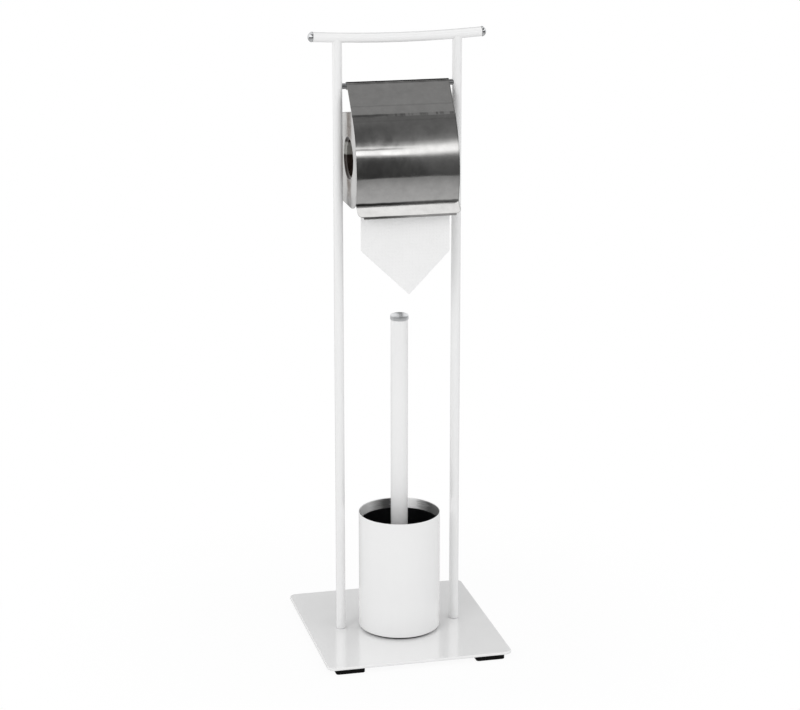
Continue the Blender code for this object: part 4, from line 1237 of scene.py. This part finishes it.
def bracket_shape():
    """One bent sheet: two cheeks, each a flat with its hub drawn in, joined by the bends and the back."""
    outline = cheek_outline()
    last = len(outline) - 1
    rear, bottom = outline[-1]
    top = HUB_Z + CHEEK_ABOVE_HUB
    fall = math.tan(CHEEK_TOP_FALL)
    middle_x = CHEEK_INNER_X + BRACKET_SHEET / 2
    walk = Walk((-middle_x, rear), math.pi / 2).turn(BRACKET_BEND_RADIUS, -math.pi / 2)
    walk.straight(2 * (middle_x - BRACKET_BEND_RADIUS)).turn(BRACKET_BEND_RADIUS, -math.pi / 2)
    shape = bmesh.new()
    circle = hub_circle(HUB_MOUTH_RADIUS)
    flat = tessellate_polygon([[Vector((y, z, 0)) for y, z in loop] for loop in (outline, circle)])
    ends = {}
    for side, _ in LEFT_RIGHT:
        skins = []
        for x in (side * CHEEK_OUTER_X, side * CHEEK_INNER_X):
            skin = [shape.verts.new((x, y, z)) for y, z in outline + circle]
            for triangle in flat:
                shape.faces.new([skin[k] for k in triangle])
            skins.append(skin)
        outer, inner = skins
        for k in range(last):
            shape.faces.new((outer[k], outer[k + 1], inner[k + 1], inner[k]))
        draw_hub(shape, side, outer[last + 1:], inner[last + 1:])
        ends[side] = [outer[0], inner[0], outer[last], inner[last]]
    rows = [ends[-1]]
    faces = list(zip(walk.beside(BRACKET_SHEET / 2), walk.beside(-BRACKET_SHEET / 2)))
    for (x1, y1), (x2, y2) in faces[1:-1]:
        rows.append([shape.verts.new(place) for place in (
            (x1, y1, top - fall * y1), (x2, y2, top - fall * y2), (x1, y1, bottom), (x2, y2, bottom))])
    rows.append(ends[1])
    for one, two in zip(rows, rows[1:]):
        for a, b in ((0, 1), (1, 3), (3, 2), (2, 0)):
            shape.faces.new((one[a], one[b], two[b], two[a]))
    return shape


def draw_hub(shape, side, outer, inner):
    """The hub drawn in from a cheek's hole: a rounded mouth, a cone, a tube and the way back behind them."""
    behind = HUB_DRAW_RADIUS - BRACKET_SHEET
    steps = [math.pi / 2 * k / BEND_STEPS for k in range(1, BEND_STEPS + 1)]
    narrow = HUB_INNER_RADIUS
    throat = CHEEK_OUTER_X - HUB_CONE_DEPTH
    end = CHEEK_OUTER_X - HUB_DEPTH
    bend = CHEEK_OUTER_X - HUB_DRAW_RADIUS
    mouth = [(HUB_MOUTH_RADIUS - HUB_DRAW_RADIUS * math.sin(a), bend + HUB_DRAW_RADIUS * math.cos(a))
             for a in steps]
    hidden = [(HUB_MOUTH_RADIUS - behind * math.sin(a), bend + behind * math.cos(a)) for a in steps]
    section = mouth + [(narrow, throat), (narrow, end), (narrow + BRACKET_SHEET, end),
                       (narrow + BRACKET_SHEET, throat - behind)] + hidden[::-1]
    rings = [[shape.verts.new((side * x, y, z)) for y, z in hub_circle(radius)] for radius, x in section]
    for one, two in zip([outer] + rings, rings + [inner]):
        bridge(shape, one, two)


def strap_walk():
    """The strap's middle line as (y, z): under the rod, back and down, then down behind the bracket."""
    reach = ROD_RADIUS + SEAT_GAP + STRAP_SHEET / 2
    foot = (-reach * math.sin(STRAP_FALL), ROD_Z - reach * math.cos(STRAP_FALL))
    start = (foot[0] - STRAP_NOSE * math.cos(STRAP_FALL), foot[1] + STRAP_NOSE * math.sin(STRAP_FALL))
    leg = BACK_Y + BRACKET_SHEET + SEAT_GAP + STRAP_SHEET / 2
    run = (leg - start[0] - STRAP_BEND_RADIUS * (1 - math.sin(STRAP_FALL))) / math.cos(STRAP_FALL)
    walk = Walk(start, -STRAP_FALL).straight(run).turn(STRAP_BEND_RADIUS, STRAP_FALL - math.pi / 2)
    return walk.straight(walk.points[-1][1] - STRAP_LOW.z)


# Paper


class STAND_OT_paper(bpy.types.Operator):
    """Makes the card core, the wound paper and the sheet that hangs from it"""

    bl_idname = "stand.paper"
    bl_label = "Roll and hanging sheet"

    def execute(self, context):
        sizes = context.scene.stand_sizes
        draw = random.Random(sizes.seed)
        place = at(ROLL_X, 0, ROLL_Z, math.pi / 2, "Y")
        half = (CORE_HIGH.x - CORE_LOW.x) / 2
        core = tube_section(CORE_RADIUS - CORE_WALL, CORE_RADIUS, -half, half)
        piece("card_core", turned(core, FINE_STEPS, place), "cardboard", "roll", "paper_core")
        inner = CORE_RADIUS + SEAT_GAP
        half = (ROLL_HIGH.x - ROLL_LOW.x) / 2
        layers = sizes.roll_layers * 2
        layer = (ROLL_RADIUS - inner) / layers

        def end_face(sign):
            points = [(inner, sign * (half - ROLL_BORE_INSET))]
            for k in range(layers):
                inset = END_LAYER_INSET if k in (0, layers - 1) else LAYER_INSET
                inset += draw.uniform(0.0, LAYER_SHIFT)
                points += [(inner + layer * (k + share), sign * (half - inset - dip))
                           for share, dip in LAYER_CROWN]
            return points + [(ROLL_RADIUS, sign * (half - ROLL_SHOULDER))]

        section = end_face(-1) + end_face(1)[::-1]
        piece("wound_paper", turned(section, FINE_STEPS, place), "wound_tissue", "roll", "paper_roll",
              slot="tissue")
        piece("hanging_sheet", tail_shape(sizes), "tissue", "stand", "paper_tail")
        return {"FINISHED"}


def tail_shape(sizes):
    """The hanging sheet: it lies on the roll's front, leaves it upright and ends in a folded point."""
    half = (TAIL_HIGH.x - TAIL_LOW.x) / 2
    middle = (TAIL_HIGH.x + TAIL_LOW.x) / 2
    skin = TAIL_FRONT - TAIL_SHEET / 2

    def bottom(x):
        side = math.copysign(1, x - TAIL_POINT_SHIFT)
        corner = ROLL_Z - TAIL_CORNER_DROP - side * TAIL_SKEW / 2
        share = (x - TAIL_POINT_SHIFT) / (side * half - TAIL_POINT_SHIFT)
        return TAIL_LOW.z + (corner - TAIL_LOW.z) * share

    def sway(x, z):
        hung = min(max((ROLL_Z - SWAY_START - z) / SWAY_RUN, 0), 1)
        swell = sum(size * math.sin(x * across + z * down + start)
                    for size, across, down, start in SWAY_WAVES)
        curl = SWAY_CURL * (abs(x) / half) ** 4 * hung
        return sizes.tail_sway * hung * (swell - curl)

    def point(x, row, shift):
        if row <= TAIL_WRAP_ROWS:
            angle = TAIL_WRAP * (1 - row / TAIL_WRAP_ROWS)
            radius = skin + shift
            return x + middle, -radius * math.cos(angle), ROLL_Z + radius * math.sin(angle)
        z = ROLL_Z - (ROLL_Z - bottom(x)) * (row - TAIL_WRAP_ROWS) / TAIL_HUNG_ROWS
        return x + middle, sway(x, z) - skin - shift, z

    shape = bmesh.new()
    rims = []
    for shift in (TAIL_SHEET / 2, -TAIL_SHEET / 2):
        grid = [[shape.verts.new(point(half * (2 * column / TAIL_COLUMNS - 1), row, shift))
                 for column in range(TAIL_COLUMNS + 1)] for row in range(TAIL_WRAP_ROWS + TAIL_HUNG_ROWS + 1)]
        for one, two in zip(grid, grid[1:]):
            for k in range(TAIL_COLUMNS):
                shape.faces.new((one[k], one[k + 1], two[k + 1], two[k]))
        rims.append(grid[0] + [line[-1] for line in grid[1:-1]] + grid[-1][::-1]
                    + [line[0] for line in grid[-2:0:-1]])
    bridge(shape, *rims)
    return shape


# Cup and brush


class STAND_OT_cup(bpy.types.Operator):
    """Makes the enamelled cup with its bare steel inside, the ring under it and the black liner"""

    bl_idname = "stand.cup"
    bl_label = "Cup"

    def execute(self, context):
        low, high = CUP_LOW.z, CUP_HIGH.z
        rim = CUP_SHELL * 0.45
        seam = SHEET_EDGE / 4
        shell = pot_section(CUP_RADIUS, low, high, CUP_SHELL, CUP_SHELL, CUP_FOOT_EDGE, rim)
        lining = pot_section(CUP_RADIUS - CUP_SHELL - seam, low + CUP_SHELL + seam, high - CUP_SHELL,
                             CUP_LINING, SHEET_EDGE, 0, rim / 2)
        outside = (RING_HIGH.x - RING_LOW.x) / 2 - CUP_RING_INSET
        ring = tube_section(outside - (RING_HIGH.z - RING_LOW.z), outside, RING_LOW.z, RING_HIGH.z)
        well = pot_section((WELL_HIGH.x - WELL_LOW.x) / 2, WELL_LOW.z, WELL_HIGH.z, WELL_WALL, WELL_WALL,
                           WELL_FOOT_EDGE, WELL_WALL / 3, WELL_WALL)
        for name, section, finish, slot, *nodes in (
                ("enamelled_cup", shell, "white_enamel", None, "brush_cup"),
                ("cup_lining", lining, "lining_steel", "polished_steel"),
                ("cup_ring", ring, "black_rubber", None, "cup_foot_ring"),
                ("cup_well", well, "black_plastic", None, "cup_liner")):
            piece(name, turned(section, FINE_STEPS, at(0, CUP_Y)), finish, "cup", *nodes, slot=slot)
        return {"FINISHED"}


class STAND_OT_brush(bpy.types.Operator):
    """Makes the handle and its cap, the neck, the stem and the bristles"""

    bl_idname = "stand.brush"
    bl_label = "Brush"

    def execute(self, context):
        sizes = context.scene.stand_sizes
        edge = SHEET_EDGE
        radius = (HANDLE_HIGH.x - HANDLE_LOW.x) / 2
        bore = radius - HANDLE_WALL
        handle = tube_section(bore, radius, HANDLE_LOW.z, HANDLE_HIGH.z)
        wide = (KNOB_HIGH.x - KNOB_LOW.x) / 2
        seat = HANDLE_HIGH.z + SEAT_GAP
        rim = seat + KNOB_RIM
        plug = bore - SEAT_GAP
        knob = softened([(0, KNOB_LOW.z, 0), (plug, KNOB_LOW.z, edge), (plug, seat, 0), (wide, seat, edge),
                         (wide, rim, edge * 2)] + dome_section(wide, KNOB_DOME, rim + KNOB_DOME))
        top = HANDLE_LOW.z - SEAT_GAP
        shoulder = top - NECK_COLLAR
        neck = softened([(0, NECK_LOW.z, 0), (NECK_RADIUS, NECK_LOW.z, edge),
                         (NECK_RADIUS, shoulder, NECK_COLLAR / 3), (radius, shoulder, edge * 2),
                         (radius, top, edge), (plug, top, 0), (plug, NECK_HIGH.z, edge), (0, NECK_HIGH.z, 0)])
        stem_radius = (STEM_HIGH.x - STEM_LOW.x) / 2
        stem = softened([(0, STEM_LOW.z, 0), (stem_radius, STEM_LOW.z, stem_radius / 3),
                         (stem_radius, STEM_HIGH.z, edge * 2), (0, STEM_HIGH.z, 0)])
        for name, section, finish, slot, node in (
                ("handle_tube", handle, "white_enamel", None, "brush_handle"),
                ("handle_dome", knob, "satin_chrome", "chrome", "handle_cap"),
                ("neck_moulding", neck, "white_plastic", None, "brush_neck"),
                ("brush_stem", stem, "white_plastic", None, "brush_core")):
            piece(name, turned(section, place=at(0, CUP_Y)), finish, "brush", node, slot=slot)
        holder = linked("tuft_points", tuft_points(sizes, stem_radius))
        mesh = grown(bristle_tree(), {"Strand radius": sizes.strand_radius, "Seed": sizes.seed,
                                      "Splay": STRAND_SPLAY, "Finish": material("bristle")}, holder)
        dressed("nylon_bristles", mesh, "bristle", "brush", "bristles")
        return {"FINISHED"}


def strand_reach(start, way):
    """How far a strand can go before it leaves the head's outline."""
    head_radius = (HEAD_HIGH.x - HEAD_LOW.x) / 2
    reach = 0.0
    while reach < head_radius * 2:
        now = start + way * reach
        low = HEAD_LOW.z + HEAD_MARGIN + HEAD_CROWN - now.z
        high = now.z - (HEAD_HIGH.z - HEAD_CROWN)
        past = max(low, high, 0)
        if past > HEAD_CROWN:
            break
        wide = head_radius - HEAD_CROWN + math.sqrt(max(HEAD_CROWN ** 2 - past ** 2, 0))
        if math.hypot(now.x, now.y) > wide:
            break
        reach += STRAND_STEP
    return max(reach - STRAND_STEP, STRAND_STEP)


def tuft_points(sizes, stem_radius):
    """Where the strands start on the stem, which way each points and how far it reaches."""
    draw = random.Random(sizes.seed)
    starts, ways, reaches = [], [], []

    def tuft(height, angle, lean):
        for _ in range(sizes.strands_per_tuft):
            turned_by, leaned_by, raised_by, slanted_by = [draw.gauss(0, spread) for spread in STRAND_SPREADS]
            turn = angle + turned_by
            tilt = lean + leaned_by
            out = Vector((math.cos(turn), math.sin(turn), 0))
            start = out * (stem_radius - STRAND_ROOT) + Vector((0, 0, height + raised_by))
            way = (out * math.cos(tilt) + Vector((0, 0, math.sin(tilt)))).normalized()
            way = (way + Vector((-out.y, out.x, 0)) * slanted_by).normalized()
            starts.append(start)
            ways.append(way)
            reaches.append(strand_reach(start, way) * draw.uniform(STRAND_SHORTEST, 1.0))

    low, high = STEM_LOW.z + TUFT_MARGINS[0], STEM_HIGH.z - TUFT_MARGINS[1]
    total = sizes.tuft_rows * sizes.tufts_per_row
    for k in range(total):
        share = k / (total - 1)
        lean = (share - TUFT_UPRIGHT) * TUFT_LEAN
        tuft(low + (high - low) * share, math.tau * k / sizes.tufts_per_row, lean)
    for ring, (height, lean, tufts) in enumerate(END_TUFTS):
        for k in range(tufts):
            tuft(STEM_LOW.z + height, math.tau * (k + ring / 3) / tufts, lean)
    mesh = bpy.data.meshes.new("tuft_points")
    mesh.from_pydata([(p.x, p.y + CUP_Y, p.z) for p in starts], [], [])
    parts = [part for way in ways for part in way]
    mesh.attributes.new("way", "FLOAT_VECTOR", "POINT").data.foreach_set("vector", parts)
    mesh.attributes.new("reach", "FLOAT", "POINT").data.foreach_set("value", reaches)
    return mesh


def bristle_tree():
    """One tapered strand on each point, along its way and as long as its reach, slightly splayed."""
    nodes, given = new_group("bristle field", "Geometry", {"Geometry": "Geometry"}, {
        "Geometry": "Geometry", "Strand radius": 0.0004, "Splay": 0.05, "Seed": 0, "Finish": "Material"})
    strand = nodes.add("GeometryNodeMeshCone", {"Vertices": 3, "Side Segments": 1, "Radius Top": 0.7,
                                                "Radius Bottom": 1.0, "Depth": 1.0}, fill_type="TRIANGLE_FAN")
    way = nodes.add("GeometryNodeInputNamedAttribute", {"Name": "way"}, data_type="FLOAT_VECTOR")
    reach = nodes.add("GeometryNodeInputNamedAttribute", {"Name": "reach"}, data_type="FLOAT")
    low, high = [nodes.vectors("SCALE", {0: (end,) * 3, "Scale": given["Splay"]}) for end in (-1, 1)]
    stray = nodes.add("FunctionNodeRandomValue", {"Min": low, "Max": high, "Seed": given["Seed"]},
                      data_type="FLOAT_VECTOR")
    strayed = nodes.vectors("ADD", {0: live_output(way, "VECTOR"), 1: live_output(stray, "VECTOR")})
    facing = nodes.add("FunctionNodeAlignRotationToVector", {"Vector": strayed}, axis="Z")[0]
    size = nodes.joined(given["Strand radius"], given["Strand radius"], live_output(reach, "VALUE"))
    placed = nodes.add("GeometryNodeInstanceOnPoints", {
        "Points": given["Geometry"], "Instance": strand["Mesh"], "Rotation": facing, "Scale": size})
    return nodes.realized(placed["Instances"], given["Finish"])


def live_output(outputs, kind):
    return next(socket for socket in outputs if socket.enabled and socket.type == kind)


# Stage


def studio_world(stage):
    """White to the camera, a soft even dome for the light, and softboxes and a dark room in reflections."""
    world = bpy.data.worlds.new("studio")
    bpy.context.scene.world = world
    world.use_nodes = True
    nodes = Nodes(world.node_tree)
    x, y, z = nodes.split(nodes.add("ShaderNodeTexCoord")["Generated"])
    front = nodes.mix(nodes.ranged(x, *LEFT_RIGHT_EDGES), nodes.bands(z, LEFT_BANDS),
                      nodes.bands(z, RIGHT_BANDS))
    front = nodes.mix(nodes.ranged(x, *SIDE_EDGES, 1.0, 0.0), front, nodes.bands(z, SIDE_BANDS))
    back = nodes.mix(nodes.strip(x, BACK_STRIPE), nodes.bands(z, BACK_BANDS), BACK_STRIPE_COLOUR)
    back = nodes.mix(nodes.strip(x, BACK_RIGHT_EDGES), back, nodes.bands(z, BACK_RIGHT_BANDS))
    mirrored = nodes.mix(nodes.ranged(y, *FRONT_BACK_EDGES), front, back)
    path = nodes.add("ShaderNodeLightPath")
    lit = nodes.mix(path["Is Glossy Ray"], (stage.dome,) * 3 + (1,), mirrored)
    seen = nodes.maths("MAXIMUM", path["Is Camera Ray"], path["Is Transmission Ray"])
    nodes.feed(nodes.tree.nodes["Background"], {"Color": nodes.mix(seen, lit, WHITE)})


def floor_material(stage):
    """Pale floor: it takes light and the stand's shadow, and the camera and metal see it near white."""
    made = bpy.data.materials.new("studio_floor")
    made.use_nodes = True
    made.node_tree.nodes.clear()
    nodes = Nodes(made.node_tree)
    place = nodes.add("ShaderNodeTexCoord")["Object"]
    out = nodes.add("ShaderNodeVectorMath", {0: place}, operation="LENGTH")["Value"]
    path = nodes.add("ShaderNodeLightPath")
    x, y, _ = nodes.split(place)
    slant = nodes.maths("DIVIDE", nodes.minus(x, BRACKET_LOW.x), y)
    behind = nodes.linear(nodes.strip(slant, FLOOR_STRIPE), FLOOR_STRIPE_GLOW - FLOOR_BACK_GLOW,
                          FLOOR_BACK_GLOW)
    before = nodes.ranged(out, *FLOOR_FRONT_GLOW)
    level = nodes.mix(nodes.ranged(y, *FLOOR_BACK_START), before, behind, "FLOAT")
    lit = nodes.add("ShaderNodeBsdfDiffuse", {"Color": (*stage.floor_colour, 1)})[0]
    glow = nodes.add("ShaderNodeEmission", {"Color": WHITE, "Strength": level})[0]
    white = nodes.add("ShaderNodeEmission", {"Color": WHITE})[0]
    seen = nodes.times(path["Is Camera Ray"], nodes.ranged(out, *FLOOR_NEAR_WHITE))
    mirrored = nodes.add("ShaderNodeMixShader", {0: path["Is Glossy Ray"], 1: lit, 2: glow})[0]
    shown = nodes.add("ShaderNodeMixShader", {0: seen, 1: mirrored, 2: white})[0]
    nodes.add("ShaderNodeOutputMaterial", {"Surface": shown})
    return made


def lamp(name, position, aim, width, height, power):
    light = bpy.data.lights.new(name, "AREA")
    light.shape = "RECTANGLE"
    light.size = width
    light.size_y = height
    light.energy = power
    made = linked(name, light)
    made.location = position
    made.rotation_euler = (Vector(aim) - Vector(position)).to_track_quat("-Z", "Y").to_euler()
    made.visible_glossy = False
    made.visible_camera = False


class STAND_OT_stage(bpy.types.Operator):
    """Makes the pale floor, the soft studio light and the camera"""

    bl_idname = "stand.stage"
    bl_label = "Floor, light and camera"

    def execute(self, context):
        stage = context.scene.stand_stage
        shape = bmesh.new()
        bmesh.ops.create_circle(shape, cap_ends=True, radius=stage.floor_radius, segments=FINE_STEPS)
        mesh = bpy.data.meshes.new("studio_floor")
        shape.to_mesh(mesh)
        shape.free()
        mesh.materials.append(floor_material(stage))
        floor = linked("studio_floor", mesh)
        studio_world(stage)
        for *values, share in LAMPS:
            lamp(*values, stage.key_power * share)
        data = bpy.data.cameras.new("photo_view")
        camera = linked("photo_view", data)
        level = math.cos(stage.elevation)
        back = Vector((math.sin(stage.azimuth) * level, -math.cos(stage.azimuth) * level,
                       math.sin(stage.elevation)))
        camera.location = Vector((0, 0, stage.aim_height)) + back * stage.distance
        camera.rotation_euler = (-back).to_track_quat("-Z", "Y").to_euler()
        data.sensor_width = 36
        data.lens = stage.lens
        data.shift_x = stage.shift_x
        data.shift_y = stage.shift_y
        data.clip_end = 50
        context.scene.camera = camera
        context.scene.view_settings.view_transform = "Standard"
        return {"FINISHED"}


class STAND_PT_panel(bpy.types.Panel):
    """Lists the stand's operators and settings"""

    bl_idname = "STAND_PT_panel"
    bl_label = "Stand"
    bl_space_type = "VIEW_3D"
    bl_region_type = "UI"
    bl_category = "Stand"

    def draw(self, context):
        for operator in OPERATORS:
            self.layout.operator(operator.bl_idname)
        for group in (context.scene.stand_sizes, context.scene.stand_colours, context.scene.stand_stage):
            box = self.layout.box()
            for name in group.__annotations__:
                box.prop(group, name)


OPERATORS = (STAND_OT_base, STAND_OT_posts, STAND_OT_lid, STAND_OT_bracket, STAND_OT_paper, STAND_OT_cup,
             STAND_OT_brush, STAND_OT_stage)
CLASSES = (StandSizes, StandColours, StandStage) + OPERATORS + (STAND_PT_panel,)


def register():
    for item in CLASSES:
        bpy.utils.register_class(item)
    bpy.types.Scene.stand_sizes = PointerProperty(type=StandSizes)
    bpy.types.Scene.stand_colours = PointerProperty(type=StandColours)
    bpy.types.Scene.stand_stage = PointerProperty(type=StandStage)


def unregister():
    del bpy.types.Scene.stand_stage
    del bpy.types.Scene.stand_colours
    del bpy.types.Scene.stand_sizes
    for item in reversed(CLASSES):
        bpy.utils.unregister_class(item)


def main():
    register()
    bpy.ops.stand.base()
    bpy.ops.stand.posts()
    bpy.ops.stand.lid()
    bpy.ops.stand.bracket()
    bpy.ops.stand.paper()
    bpy.ops.stand.cup()
    bpy.ops.stand.brush()
    bpy.ops.stand.stage()


if __name__ == "__main__":
    main()
